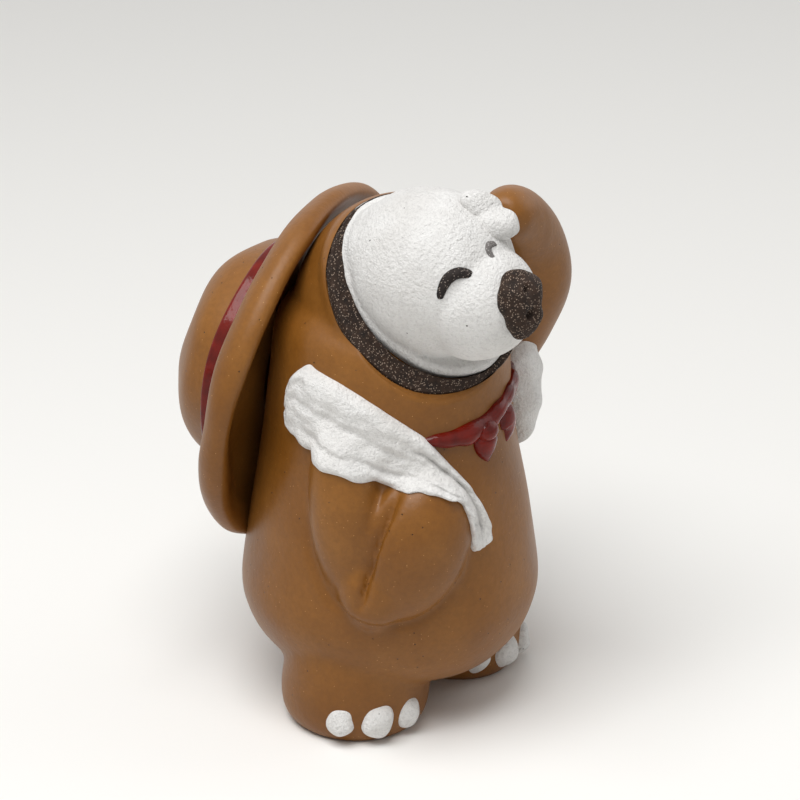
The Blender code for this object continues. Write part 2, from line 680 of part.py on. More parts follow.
knot_drop = 0.4 * KNOT_RADIUS
knot_place = facing(on_torso(KNOT_AZIMUTH, KERCHIEF_HEIGHT - knot_drop, knot_drop), KNOT_AZIMUTH)
knot_radii = (KNOT_RADIUS, 0.8 * KNOT_RADIUS, 0.9 * KNOT_RADIUS)
knot = ball("neckerchief_knot", knot_radii, knot_place, RED_SLIP, parts,
            segments=SMALL_BALL_SEGMENTS)
knot_space = ball("knot_space", knot_radii, knot_place, grow=JOINT_GAP,
                  segments=SMALL_BALL_SEGMENTS)
cut(knot, *chest_space, kerchief_space)

for side, top_azimuth, tip_azimuth, drop in (("right", 1, -1, 0.6), ("left", 15, 17, 0.2)):
    tail_path = []
    for share, width in ((0.0, 0.55), (0.16, 0.85), (0.45, 1.00), (0.75, 0.66), (1.0, 0.14)):
        azimuth = top_azimuth + (tip_azimuth - top_azimuth) * share
        height = KERCHIEF_HEIGHT - drop * TAIL_RADIUS - TAIL_LENGTH * share
        tail_path.append((on_torso(azimuth, height, 0.1 * TAIL_RADIUS), width * TAIL_RADIUS))
    tail = coil("neckerchief_tail_" + side, tail_path, RED_SLIP, parts, resolution=3)
    cut(tail, *chest_space, kerchief_space, knot_space)


# The finished pet is moved so that the origin lies on the floor under the middle of its box

bpy.context.view_layer.update()
graph = bpy.context.evaluated_depsgraph_get()
spots = []
for thing in parts.objects:
    if thing.type == "MESH":
        solid = thing.evaluated_get(graph)
        spots += [solid.matrix_world @ vertex.co for vertex in solid.to_mesh().vertices]
        solid.to_mesh_clear()
low = [min(spot[axis] for spot in spots) for axis in range(2)]
high = [max(spot[axis] for spot in spots) for axis in range(2)]
pet.location = (-(low[0] + high[0]) / 2, -(low[1] + high[1]) / 2, 0.0)
bpy.context.view_layer.update()
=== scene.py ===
"""The clay tea pet as it looks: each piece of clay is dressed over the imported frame.

The pet faces -Y and its left is +X. Lengths are in metres, written as millimetres times MM.
"""
import math

import bmesh
import bpy
import numpy
from mathutils import Matrix, Vector, noise
from mathutils.bvhtree import BVHTree
from mathutils.interpolate import poly_3d_calc
from mathutils.kdtree import KDTree


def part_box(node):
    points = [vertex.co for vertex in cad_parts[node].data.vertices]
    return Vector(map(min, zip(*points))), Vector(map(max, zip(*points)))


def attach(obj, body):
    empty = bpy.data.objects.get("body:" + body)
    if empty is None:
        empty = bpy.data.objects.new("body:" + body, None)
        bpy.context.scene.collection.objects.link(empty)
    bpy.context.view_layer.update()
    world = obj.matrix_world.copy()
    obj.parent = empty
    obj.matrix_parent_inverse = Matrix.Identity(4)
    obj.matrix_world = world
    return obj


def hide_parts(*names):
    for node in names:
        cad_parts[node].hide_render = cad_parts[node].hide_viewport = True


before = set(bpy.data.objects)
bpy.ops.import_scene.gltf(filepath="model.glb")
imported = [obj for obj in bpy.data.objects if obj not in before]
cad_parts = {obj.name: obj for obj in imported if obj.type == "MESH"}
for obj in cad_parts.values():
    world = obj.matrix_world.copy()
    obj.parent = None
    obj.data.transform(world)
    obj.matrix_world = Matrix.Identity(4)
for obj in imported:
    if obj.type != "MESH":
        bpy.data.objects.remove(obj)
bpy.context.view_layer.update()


# The stage: a pale table top under a plain white surround, one large soft lamp overhead and a
# weaker one to the side. The camera looks at the pet's right side from a little above it, through
# a long lens that keeps its lines nearly parallel.

MM = 0.001
CAMERA_AZIMUTH = -50
CAMERA_ELEVATION = 25
CAMERA_DISTANCE = 560 * MM
CAMERA_TARGET_HEIGHT = 38.6 * MM
FOCAL_LENGTH_IN_PHOTO_PIXELS = 3993
PHOTO_SIDE = 800
TARGET_IN_PHOTO = (390, 437)
FLOOR_HALF_SIDE = 1500 * MM
LAMP_DISTANCE = 560 * MM
LAMP_SIDE = 420 * MM
LAMP_POWER = 3.5
LAMP_DIRECTION = (-82, 68)
SIDE_LAMP_POWER = 0.45
SIDE_LAMP_DIRECTION = (62, 32)
ROOM_LIGHT = 0.26

scene = bpy.context.scene
scene.view_settings.view_transform = "Standard"


def linear(code):
    """An sRGB hex value as linear red, green, blue and alpha."""
    channels = [int(code[k:k + 2], 16) / 255 for k in (1, 3, 5)]
    return (*[c / 12.92 if c <= 0.04045 else ((c + 0.055) / 1.055) ** 2.4 for c in channels], 1.0)


def feed(tree, node, inputs):
    """Gives each input its value, or a link from a socket or from a node's first output."""
    for name, value in inputs.items():
        if isinstance(value, bpy.types.Node):
            value = value.outputs[0]
        if isinstance(value, bpy.types.NodeSocket):
            tree.links.new(value, node.inputs[name])
        else:
            node.inputs[name].default_value = value
    return node


def add_node(tree, kind, inputs=None, **settings):
    """Adds a node with its settings and feeds its inputs."""
    made = tree.nodes.new(kind)
    for name, value in settings.items():
        setattr(made, name, value)
    return feed(tree, made, inputs or {})


def in_scene(name, data):
    """Puts a mesh, a curve, a lamp or the camera in the scene as an object."""
    made = bpy.data.objects.new(name, data)
    scene.collection.objects.link(made)
    return made


def direction(azimuth, elevation):
    """Unit vector from the pet towards a viewer; azimuth 0 stands in front, at -Y."""
    a, e = math.radians(azimuth), math.radians(elevation)
    return Vector((math.sin(a) * math.cos(e), -math.cos(a) * math.cos(e), math.sin(e)))


shell_low, shell_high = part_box("body_shell")
AXIS = Vector(((shell_low.x + shell_high.x) / 2, (shell_low.y + shell_high.y) / 2, 0))
pet_middle = AXIS + Vector((0, 0, CAMERA_TARGET_HEIGHT))

camera_data = bpy.data.cameras.new("photo_camera")
camera_data.sensor_width = 36.0
camera_data.lens = camera_data.sensor_width * FOCAL_LENGTH_IN_PHOTO_PIXELS / PHOTO_SIDE
camera_data.shift_x = (PHOTO_SIDE / 2 - TARGET_IN_PHOTO[0]) / PHOTO_SIDE
camera_data.shift_y = (TARGET_IN_PHOTO[1] - PHOTO_SIDE / 2) / PHOTO_SIDE
camera_data.clip_start = 10 * MM
camera = in_scene("photo_camera", camera_data)
towards_camera = direction(CAMERA_AZIMUTH, CAMERA_ELEVATION)
camera.location = pet_middle + CAMERA_DISTANCE * towards_camera
camera.rotation_euler = towards_camera.to_track_quat("Z", "Y").to_euler()
scene.camera = camera

for name, angles, power in (("overhead_lamp", LAMP_DIRECTION, LAMP_POWER),
                            ("side_lamp", SIDE_LAMP_DIRECTION, SIDE_LAMP_POWER)):
    data = bpy.data.lights.new(name, "AREA")
    data.size = LAMP_SIDE
    data.energy = power
    lamp = in_scene(name, data)
    lamp.location = pet_middle + LAMP_DISTANCE * direction(*angles)
    lamp.rotation_euler = (lamp.location - pet_middle).to_track_quat("Z", "Y").to_euler()

world = bpy.data.worlds.new("pale_room")
world.use_nodes = True
scene.world = world
room = world.node_tree
room.nodes.clear()
path = add_node(room, "ShaderNodeLightPath").outputs
seen = add_node(room, "ShaderNodeMath", {0: path["Is Camera Ray"], 1: path["Is Glossy Ray"]},
                operation="MAXIMUM")
seen = add_node(room, "ShaderNodeMath", {0: seen, 1: path["Is Transmission Ray"]}, operation="MAXIMUM")
light = add_node(room, "ShaderNodeBackground", {"Color": linear("#fbfaf8"), "Strength": ROOM_LIGHT})
white = add_node(room, "ShaderNodeBackground", {"Color": (1, 1, 1, 1), "Strength": 1.0})
mixed = add_node(room, "ShaderNodeMixShader", {0: seen, 1: light, 2: white})
add_node(room, "ShaderNodeOutputWorld", {"Surface": mixed})

floor_mesh = bpy.data.meshes.new("table_top")
bm = bmesh.new()
bmesh.ops.create_grid(bm, x_segments=1, y_segments=1, size=FLOOR_HALF_SIDE)
bm.to_mesh(floor_mesh)
bm.free()
floor = in_scene("table_top", floor_mesh)
floor_paint = bpy.data.materials.new("pale_table_paint")
floor_paint.use_nodes = True
feed(floor_paint.node_tree, floor_paint.node_tree.nodes["Principled BSDF"],
     {"Base Color": linear("#f4f3f0"), "Roughness": 0.8})
floor_mesh.materials.append(floor_paint)


# Ochre clay: the brown stoneware of the body, arms, legs and hat. It is rubbed smooth by hand before
# the firing, which leaves a satin skin with broad mottling, sand and small pits. The glint of the sand
# is painted highlight, as pale specks in the colour, and the pits are darkened with painted shade.

def grain(tree, place, size, detail=2.0, roughness=0.55):
    """Soft noise whose blobs are about one size across, from 0 to 1."""
    return add_node(tree, "ShaderNodeTexNoise",
                    {"Vector": place, "Scale": 0.6 / size, "Detail": detail, "Roughness": roughness})


def mottling(tree, place, size, low, high, roughness=0.55, most=1.0):
    """Grain whose part between low and high is stretched over 0 to the most."""
    return add_node(tree, "ShaderNodeMapRange",
                    {"Value": grain(tree, place, size, 3.0, roughness), "From Min": low,
                     "From Max": high, "To Max": most})


def specks(tree, place, spacing, share, radius):
    """1 inside round specks. Cells lie a spacing apart, a share of them hold one, its radius is in cells."""
    cells = add_node(tree, "ShaderNodeTexVoronoi", {"Vector": place, "Scale": 1 / spacing}).outputs
    pick = add_node(tree, "ShaderNodeSeparateColor", {"Color": cells["Color"]})
    chosen = add_node(tree, "ShaderNodeMath", {0: pick, 1: share}, operation="LESS_THAN")
    inside = add_node(tree, "ShaderNodeMapRange",
                      {"Value": cells["Distance"], "From Min": 0.6 * radius, "From Max": radius,
                       "To Min": 1.0, "To Max": 0.0})
    return add_node(tree, "ShaderNodeMath", {0: chosen, 1: inside}, operation="MULTIPLY")


def layered(tree, colour, *layers):
    """A colour under others: each layer is the pattern where it shows and its colour."""
    colour = linear(colour)
    for pattern, over in layers:
        colour = add_node(tree, "ShaderNodeMix", {0: pattern, 6: colour, 7: linear(over)},
                          data_type="RGBA").outputs[2]
    return colour


def bumped(tree, *layers):
    """Bumps over each other, from pattern, strength and height; a height below zero goes in."""
    below = {}
    for pattern, strength, height in layers:
        bump = add_node(tree, "ShaderNodeBump",
                        {"Height": pattern, "Strength": strength, "Distance": abs(height), **below},
                        invert=height < 0)
        below = {"Normal": bump}
    return bump


def new_clay(name):
    """A material, its node tree and the coordinates that every pattern reads: the place on the pet."""
    material = bpy.data.materials.new(name)
    material.use_nodes = True
    tree = material.node_tree
    return material, tree, add_node(tree, "ShaderNodeTexCoord").outputs["Object"]


def ochre_stoneware():
    """Burnished ochre stoneware: satin, mottled over 9 mm, 0.3 mm sand with painted glints, pits 3 mm apart
    in painted shade.
    """
    material, tree, place = new_clay("burnished_ochre_stoneware")
    mottle = mottling(tree, place, 9 * MM, 0.35, 0.68)
    fine = mottling(tree, place, 0.5 * MM, 0.32, 0.7, roughness=0.7, most=0.30)
    # Painted glint: pale specks in the colour that stand for sand catching the light.
    painted_glint = specks(tree, place, 0.42 * MM, 0.09, 0.18)
    # Pits: real dents in the bump, with dark colour painted in them as shade.
    pit_and_painted_shade = specks(tree, place, 1.3 * MM, 0.20, 0.10)
    feed(tree, tree.nodes["Principled BSDF"], {
        "Base Color": layered(tree, "#7a4c19", (mottle, "#8c5c26"), (fine, "#5f3a14"),
                              (painted_glint, "#b98a52"), (pit_and_painted_shade, "#3d2410")),
        "Roughness": add_node(tree, "ShaderNodeMapRange", {"Value": mottle, "To Min": 0.34, "To Max": 0.46}),
        "Specular IOR Level": 0.30,
        "Normal": bumped(tree, (grain(tree, place, 3.2 * MM), 0.22, 0.5 * MM),
                         (grain(tree, place, 0.33 * MM), 0.34, 0.10 * MM), (pit_and_painted_shade, 0.9, -0.16 * MM))})
    return material


OCHRE = ochre_stoneware()


# Body, legs and arms: the shell is thrown hollow and the limbs are luted on. Every seam is worked
# over with a wet finger until clay runs into clay, so one skin is formed over all the lumps, and
# each piece keeps the part of it that lies nearest to its own lump.

def mm(*lengths):
    """A place, a shift or a set of radii, from lengths in millimetres."""
    return Vector(lengths) * MM


BELLY_RADIUS = 20.9 * MM
BELLY_HEIGHT = 18.5 * MM
CHEST_RADIUS = 17.3 * MM
CHEST_HEIGHT = 41.6 * MM
NECK_RADIUS = 16.2 * MM
NECK_HEIGHT = 54.6 * MM
UNDERSIDE_RADIUS = 12.0 * MM
UNDERSIDE_HEIGHT = 6.2 * MM
HEAD_RADIUS = 15.4 * MM
HEAD_CENTRE = AXIS + mm(2.0, -1.4, 58.5)
LEG_HEIGHT = 19.0 * MM
LEG_BULGE_HEIGHT = 5.2 * MM
SOLE_SHARE = 0.84
LEGS = {"right": (AXIS + mm(-10.3, -2.3, 0), 10.4 * MM),
        "left": (AXIS + mm(12.5, -1.8, 0), 10.0 * MM)}
SKIN_GRAIN = 0.5 * MM
SKIN_RUBBING = 16
SHRINKAGE = 0.16 * MM
SKIN_KNEADING = (0.35 * MM, 11 * MM, 1.7)
SEAM_DEPTH = 0.6 * MM
OUTSIDE = 60 * MM
WELD_DISTANCE = 0.001 * MM
CUT_EDGE_ANGLE = math.radians(50)


def smooth_through(points, steps):
    """Points on a smooth curve through the given ones, of any dimension."""
    ends = [points[0]] + list(points) + [points[-1]]
    curve = []
    for a, b, c, d in zip(ends, ends[1:], ends[2:], ends[3:]):
        for step in range(steps):
            t = step / steps
            curve.append(tuple(
                0.5 * (2 * q + (r - p) * t + (2 * p - 5 * q + 4 * r - s) * t ** 2
                       + (3 * q - p - 3 * r + s) * t ** 3)
                for p, q, r, s in zip(a, b, c, d)))
    curve.append(tuple(points[-1]))
    return curve


# The torso's outer side as (radius, height) points, from inside the head to the underside.
rise, swell = CHEST_HEIGHT - BELLY_HEIGHT, BELLY_RADIUS - CHEST_RADIUS
TORSO_SIDE = smooth_through([
    (0.72 * NECK_RADIUS, NECK_HEIGHT + 0.42 * NECK_RADIUS),
    (0.93 * NECK_RADIUS, NECK_HEIGHT + 0.23 * NECK_RADIUS),
    (NECK_RADIUS, NECK_HEIGHT),
    ((NECK_RADIUS + CHEST_RADIUS) / 2, (NECK_HEIGHT + CHEST_HEIGHT) / 2),
    (CHEST_RADIUS, CHEST_HEIGHT),
    (CHEST_RADIUS + 0.62 * swell, BELLY_HEIGHT + 0.43 * rise),
    (BELLY_RADIUS, BELLY_HEIGHT),
    (0.962 * BELLY_RADIUS, 0.75 * BELLY_HEIGHT),
    (0.885 * BELLY_RADIUS, 0.57 * BELLY_HEIGHT),
    (0.765 * BELLY_RADIUS, 0.43 * BELLY_HEIGHT),
    (UNDERSIDE_RADIUS, UNDERSIDE_HEIGHT)], 6)


def torso_radius(height):
    """The torso's radius at a height."""
    for (r_high, z_high), (r_low, z_low) in zip(TORSO_SIDE, TORSO_SIDE[1:]):
        if z_low <= height <= z_high:
            return r_low + (r_high - r_low) * (height - z_low) / (z_high - z_low)
    return TORSO_SIDE[0][0] if height > TORSO_SIDE[0][1] else TORSO_SIDE[-1][0]


def around(azimuth, radius, height):
    """Offset from an axis at an azimuth, counted from the front towards the pet's left."""
    angle = math.radians(azimuth)
    return Vector((radius * math.sin(angle), -radius * math.cos(angle), height))


def on_torso(azimuth, height, lift=0.0):
    """Point at a height over the torso's skin."""
    return AXIS + around(azimuth, torso_radius(height) + lift, height)


def on_head(azimuth, elevation, lift=0.0):
    """Point over the head's skin, seen from the head's centre."""
    rise, reach = math.radians(elevation), HEAD_RADIUS + lift
    return HEAD_CENTRE + around(azimuth, reach * math.cos(rise), reach * math.sin(rise))


def first_met(surface, azimuth, height):
    """Where a level line from outside towards the pet's axis first meets a surface."""
    return surface.ray_cast(AXIS + around(azimuth, OUTSIDE, height), -around(azimuth, 1.0, 0.0))


def facing(origin, yaw, pitch=0.0, roll=0.0):
    """Frame with +Z looking out along yaw and pitch, +Y up and +X to the pet's left."""
    turn = Matrix.Rotation(math.radians(yaw), 4, "Z")
    tip = Matrix.Rotation(math.radians(90.0 - pitch), 4, "X")
    lean = Matrix.Rotation(math.radians(roll), 4, "Z")
    return Matrix.Translation(origin) @ turn @ tip @ lean


def new_mesh(name, bm):
    """A worked form as a finished smooth one, with its faces pointing out."""
    bmesh.ops.recalc_face_normals(bm, faces=bm.faces)
    mesh = bpy.data.meshes.new(name)
    bm.to_mesh(mesh)
    bm.free()
    mesh.shade_smooth()
    return mesh


def joined(*meshes):
    """The given forms as one that can be worked on."""
    bm = bmesh.new()
    for mesh in meshes:
        bm.from_mesh(mesh)
    return bm


def plain_mesh(holder):
    """The form that an object shows, with the object taken out of the scene."""
    mesh = bpy.data.meshes.new_from_object(holder.evaluated_get(bpy.context.evaluated_depsgraph_get()))
    bpy.data.objects.remove(holder)
    return mesh


def surface_of(mesh):
    """A mesh's faces, ready to be searched for the nearest place or along a line."""
    return BVHTree.FromPolygons([v.co for v in mesh.vertices], [tuple(p.vertices) for p in mesh.polygons])


def with_normals(bm):
    """The points of a skin, each with its normal as it is before any of them moves."""
    bm.normal_update()
    return [(v, v.normal.copy()) for v in bm.verts]


def ball(name, radii, place, segments=64):
    """An egg of clay with three radii."""
    bm = bmesh.new()
    bmesh.ops.create_uvsphere(bm, u_segments=segments, v_segments=segments // 2, radius=1.0)
    bmesh.ops.scale(bm, vec=radii, verts=bm.verts)
    bmesh.ops.transform(bm, matrix=place, verts=bm.verts)
    return new_mesh(name, bm)


def coil(name, path):
    """A hand-rolled coil: a tube that swells and tapers along (point, radius) pairs."""
    curve = bpy.data.curves.new(name, "CURVE")
    curve.dimensions = "3D"
    curve.bevel_depth = 1.0
    curve.bevel_resolution = 10
    curve.use_fill_caps = True
    spline = curve.splines.new("POLY")
    rows = smooth_through([(*point, radius) for point, radius in path], 6)
    spline.points.add(len(rows) - 1)
    for point, (x, y, z, radius) in zip(spline.points, rows):
        point.co = (x, y, z, 1.0)
        point.radius = radius
    bm = joined(plain_mesh(in_scene(name, curve)))
    bmesh.ops.remove_doubles(bm, verts=bm.verts, dist=WELD_DISTANCE)
    return new_mesh(name, bm)


def clay_tree(name, inputs):
    """A new node tree with one form as its output, and the sockets of its inputs."""
    tree = bpy.data.node_groups.new(name, "GeometryNodeTree")
    for given, kind in inputs:
        tree.interface.new_socket(given, in_out="INPUT", socket_type="NodeSocket" + kind)
    tree.interface.new_socket("Form", in_out="OUTPUT", socket_type="NodeSocketGeometry")
    return tree, add_node(tree, "NodeGroupInput").outputs


def finished_tree(tree, form, clay):
    """Ends a tree: the form is made real and dressed in its clay."""
    real = add_node(tree, "GeometryNodeRealizeInstances", {"Geometry": form})
    dressed = add_node(tree, "GeometryNodeSetMaterial", {"Geometry": real, "Material": clay})
    add_node(tree, "NodeGroupOutput", {0: dressed})
    return tree


def turning_tree():
    """Turns a profile about Z. The turned clay wavers in height, so many waves round its edge."""
    tree, given = clay_tree("turned_clay", (
        ("Profile", "Geometry"), ("Along", "Int"), ("Around", "Int"), ("Waver", "Float"),
        ("Waves", "Float"), ("Edge Radius", "Float"), ("Clay", "Material")))
    profile = add_node(tree, "GeometryNodeMeshToCurve", {0: given["Profile"]})
    grid = add_node(tree, "GeometryNodeMeshGrid", {"Size X": 1.0, "Size Y": 1.0,
                                                   "Vertices X": given["Along"],
                                                   "Vertices Y": given["Around"]})
    spot = add_node(tree, "ShaderNodeSeparateXYZ", {0: add_node(tree, "GeometryNodeInputPosition")}).outputs
    along = add_node(tree, "ShaderNodeMath", {0: spot["X"], 1: 0.5}, operation="ADD")
    turn = add_node(tree, "ShaderNodeMath", {0: spot["Y"], 1: math.tau}, operation="MULTIPLY")
    sample = add_node(tree, "GeometryNodeSampleCurve", {"Curves": profile, "Factor": along}, mode="FACTOR")
    point = add_node(tree, "ShaderNodeSeparateXYZ", {0: sample.outputs["Position"]}).outputs
    cosine = add_node(tree, "ShaderNodeMath", {0: turn}, operation="COSINE")
    sine = add_node(tree, "ShaderNodeMath", {0: turn}, operation="SINE")
    phase = add_node(tree, "ShaderNodeMath", {0: turn, 1: given["Waves"]}, operation="MULTIPLY")
    wave = add_node(tree, "ShaderNodeMath", {0: phase}, operation="SINE")
    reach = add_node(tree, "ShaderNodeMath", {0: point["X"], 1: given["Edge Radius"]}, operation="DIVIDE")
    reach = add_node(tree, "ShaderNodeMath", {0: reach, 1: 3.0}, operation="POWER")
    lift = add_node(tree, "ShaderNodeMath", {0: reach, 1: given["Waver"]}, operation="MULTIPLY")
    lift = add_node(tree, "ShaderNodeMath", {0: lift, 1: wave, 2: point["Z"]}, operation="MULTIPLY_ADD")
    x = add_node(tree, "ShaderNodeMath", {0: point["X"], 1: cosine}, operation="MULTIPLY")
    y = add_node(tree, "ShaderNodeMath", {0: point["X"], 1: sine}, operation="MULTIPLY")
    where = add_node(tree, "ShaderNodeCombineXYZ", {0: x, 1: y, 2: lift})
    turned_grid = add_node(tree, "GeometryNodeSetPosition", {"Geometry": grid, "Position": where})
    welded = add_node(tree, "GeometryNodeMergeByDistance",
                      {"Geometry": turned_grid, "Distance": WELD_DISTANCE})
    return finished_tree(tree, welded, given["Clay"])


TURNING = turning_tree()


def baked(name, source, tree, values, place=Matrix()):
    """The form that a tree makes from a source and its values, put in its place."""
    holder = in_scene(name, source)
    modifier = holder.modifiers.new("nodes", "NODES")
    modifier.node_group = tree
    sockets = {item.name: item.identifier for item in tree.interface.items_tree if item.in_out == "INPUT"}
    for key, value in values.items():
        modifier[sockets[key]] = value
    bm = joined(plain_mesh(holder))
    bmesh.ops.transform(bm, matrix=place, verts=bm.verts)
    return new_mesh(name, bm)


def turned(name, outline, place, clay, along=96, around_it=128, waver=0.0, waves=2.0):
    """A turned piece from (radius, height) points; an outline that starts off the axis is a ring."""
    bm = bmesh.new()
    points = [bm.verts.new((radius, 0.0, height)) for radius, height in outline]
    for a, b in zip(points, points[1:]):
        bm.edges.new((a, b))
    if outline[0][0] > 0.0:
        bm.edges.new((points[-1], points[0]))
    profile = bpy.data.meshes.new(name + "_profile")
    bm.to_mesh(profile)
    bm.free()
    edge = max(radius for radius, height in outline)
    return baked(name, profile, TURNING, {"Along": along, "Around": around_it, "Waver": waver,
                                          "Waves": waves, "Edge Radius": edge, "Clay": clay}, place)


def add_piece(name, mesh, clay, *nodes, slot):
    """Puts a finished mesh in the scene as the piece that stands for its nodes."""
    piece = in_scene(name, mesh)
    mesh.materials.clear()
    mesh.materials.append(clay)
    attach(piece, "root")
    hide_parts(*nodes)


def rubbed(name, bm, size, passes, swell=0.0):
    """Welds overlapping lumps into one skin of even facets and rubs the seams smooth."""
    holder = in_scene(name, new_mesh(name, bm))
    remesh = holder.modifiers.new("weld", "REMESH")
    remesh.mode = "VOXEL"
    remesh.voxel_size = size
    rub = holder.modifiers.new("rub", "SMOOTH")
    rub.factor = 0.5
    rub.iterations = passes
    bm = joined(plain_mesh(holder))
    for vertex, normal in with_normals(bm):
        vertex.co += normal * swell
    return bm


def kneaded(bm, depth, width, seed):
    """The skin with shallow hand-made dents and swellings, so deep and so wide, from a seed."""
    shift = Vector((seed, 2.0 * seed, 3.0 * seed))
    for vertex, normal in with_normals(bm):
        vertex.co += normal * depth * noise.noise(vertex.co / width + shift)
    return bm


def cut_with(name, bm, *cutters):
    """A form with the shapes of the cutters cut out of it, its cut edges left sharp."""
    holder = in_scene(name, new_mesh(name, bm))
    tools = [in_scene(mesh.name, mesh) for mesh in cutters]
    for tool in tools:
        step = holder.modifiers.new(tool.name, "BOOLEAN")
        step.operation = "DIFFERENCE"
        step.solver = "EXACT"
        step.object = tool
    mesh = plain_mesh(holder)
    for tool in tools:
        bpy.data.objects.remove(tool)
    mesh.shade_smooth()
    mesh.set_sharp_from_angle(angle=CUT_EDGE_ANGLE)
    return mesh


def leg(side):
    """One leg, turned from inside the belly down to the flat sole that it stands on."""
    centre, radius = LEGS[side]
    ankle = LEG_HEIGHT - LEG_BULGE_HEIGHT
    outline = smooth_through([
        (0.82 * radius, LEG_HEIGHT),
        (0.86 * radius, LEG_BULGE_HEIGHT + 0.66 * ankle),
        (0.94 * radius, LEG_BULGE_HEIGHT + 0.36 * ankle),
        (radius, LEG_BULGE_HEIGHT),
        (0.96 * radius, 0.33 * LEG_BULGE_HEIGHT),
        (SOLE_SHARE * radius, 0.0)], 6)
    return turned("leg_form_" + side, [(0.0, LEG_HEIGHT)] + outline + [(0.0, 0.0)],
                  Matrix.Translation(centre), OCHRE)


torso_form = turned("torso_form", [(0.0, NECK_HEIGHT + 0.52 * NECK_RADIUS)] + TORSO_SIDE
                    + [(0.0, UNDERSIDE_HEIGHT)], Matrix.Translation(AXIS), OCHRE)
head_form = ball("head_form", [HEAD_RADIUS] * 3, Matrix.Translation(HEAD_CENTRE), 96)

# The face is seated in a flat on a swelling of the cheek. Seat and rim begin as round blanks and are
# pushed out to the rim's outline, which has a row in mm every 30 degrees.
FACE_YAW, FACE_PITCH, FACE_ROLL = -21, 34, 32
FACE_DEPTH = 7.3 * MM
SEAT_DEPTH = 0.9 * MM
SEAT_PLAY = 0.1 * MM
FACE = facing(HEAD_CENTRE, FACE_YAW, FACE_PITCH, FACE_ROLL) @ Matrix.Translation((0, 0, FACE_DEPTH))
RIM_CENTRE = mm(0.05, 0.5, 0)
RIM_TOP = 1.0 * MM
RIM = FACE @ Matrix.Translation(RIM_CENTRE)
RIM_OUTLINE = (14.2, 13.8, 13.9, 14.8, 14.8, 14.2, 14.3, 14.8, 14.7, 14.6, 14.4, 14.2)
BLANK_RADIUS = HEAD_RADIUS
CHEEK_RADII = mm(15.4, 15.4, 7.0)
CHEEK_DEPTH = 1.5 * MM
CHEEK_MARGIN = 0.35 * MM


def rim_reach(angle):
    """Distance from the rim's centre to its outer edge."""
    row = math.degrees(angle) % 360 / 30
    k = int(row)
    t = row - k
    a, b, c, d = (RIM_OUTLINE[(k + n) % 12] for n in (-1, 0, 1, 2))
    return MM * (b + 0.5 * t * (c - a + t * (2 * a - 5 * b + 4 * c - d + t * (3 * (b - c) + d - a))))


def shaped_as_rim(mesh, radius, more):
    """Makes a round form about the rim's axis follow the rim's outline, and lays it in place."""
    for vertex in mesh.vertices:
        x, y, z = vertex.co
        share = (rim_reach(math.atan2(y, x)) + more) / radius
        vertex.co = (x * share, y * share, z)
    mesh.transform(RIM)
    return mesh


cheek_form = shaped_as_rim(ball("cheek_form", CHEEK_RADII, Matrix.Translation((0, 0, -CHEEK_DEPTH)), 96),
                           CHEEK_RADII.x, CHEEK_MARGIN)

UPPER_ARM_RADII = mm(5.2, 12.6, 5.2)
UPPER_ARM = facing(on_torso(-69, 34.1 * MM, -0.8 * MM), -69, 0, 8)
FOREARM_RADII = mm(7.6, 11.2, 6.0)
FOREARM = facing(on_torso(-40, 30.4 * MM, -0.8 * MM), -40, 0, -16)
WRIST_RADII = mm(4.6, 5.4, 4.4)
WRIST = facing(on_torso(-57, 24.2 * MM, -0.6 * MM), -57, 0, 20)
RAISED_ARM_RADIUS = 5.8 * MM
RAISED_ARM = [(point, share * RAISED_ARM_RADIUS) for point, share in (
    (on_torso(78, 39.5 * MM, -1.6 * MM), 0.30),
    (on_torso(77, 42.5 * MM, -0.2 * MM), 0.62),
    (on_torso(73, 47.5 * MM, 1.8 * MM), 0.80),
    (on_torso(69, 52.5 * MM, 4.0 * MM), 0.90),
    (on_head(65, 3, 3.6 * MM), 0.99),
    (on_head(57, 24, 3.4 * MM), 0.88),
    (on_head(42, 40, 4.0 * MM), 0.78),
    (on_head(24, 47, 5.0 * MM), 0.60),
    (on_head(16, 48, 5.4 * MM), 0.30))]

# Lines on the right arm as (azimuth, height in mm) rows, each after its half width and its depth: the
# seam to the belly, the groove between the arm's two lobes, and the ridge beside the groove.
ARM_LINES = (
    (0.8 * MM, 0.45 * MM, (
        (-87, 37.5), (-85, 33.5), (-84, 30.0), (-80, 26.5), (-74, 23.1), (-65, 21.2), (-54.5, 20.1),
        (-43.5, 20.0), (-33.4, 21.6), (-25.5, 24.6), (-21.5, 29.0), (-19.5, 33.0))),
    (0.9 * MM, 1.5 * MM, (
        (-45.6, 40.4), (-50.0, 37.9), (-53.0, 34.9), (-55.5, 31.8), (-57.3, 28.4), (-59.3, 25.0),
        (-61, 22.6))),
    (1.0 * MM, -0.45 * MM, (
        (-47.0, 37.4), (-50.6, 34.3), (-53.2, 31.0), (-55.0, 27.6), (-56.4, 24.6))))


def press(bm, rows, radius, depth):
    """Presses a line into a skin, or raises it where the depth is below zero."""
    points = with_normals(bm)
    surface = BVHTree.FromBMesh(bm)
    route = [first_met(surface, azimuth, height * MM)[0] for azimuth, height in smooth_through(rows, 5)]
    guide = KDTree(len(route))
    for k, point in enumerate(route):
        guide.insert(point, k)
    guide.balance()
    for vertex, normal in points:
        point, k, distance = guide.find(vertex.co)
        if distance < 3 * radius:
            fade = min(1.0, 4 * (k + 1) / len(route), 4 * (len(route) - k) / len(route))
            vertex.co -= normal * depth * fade * math.exp(-(distance / radius) ** 2)


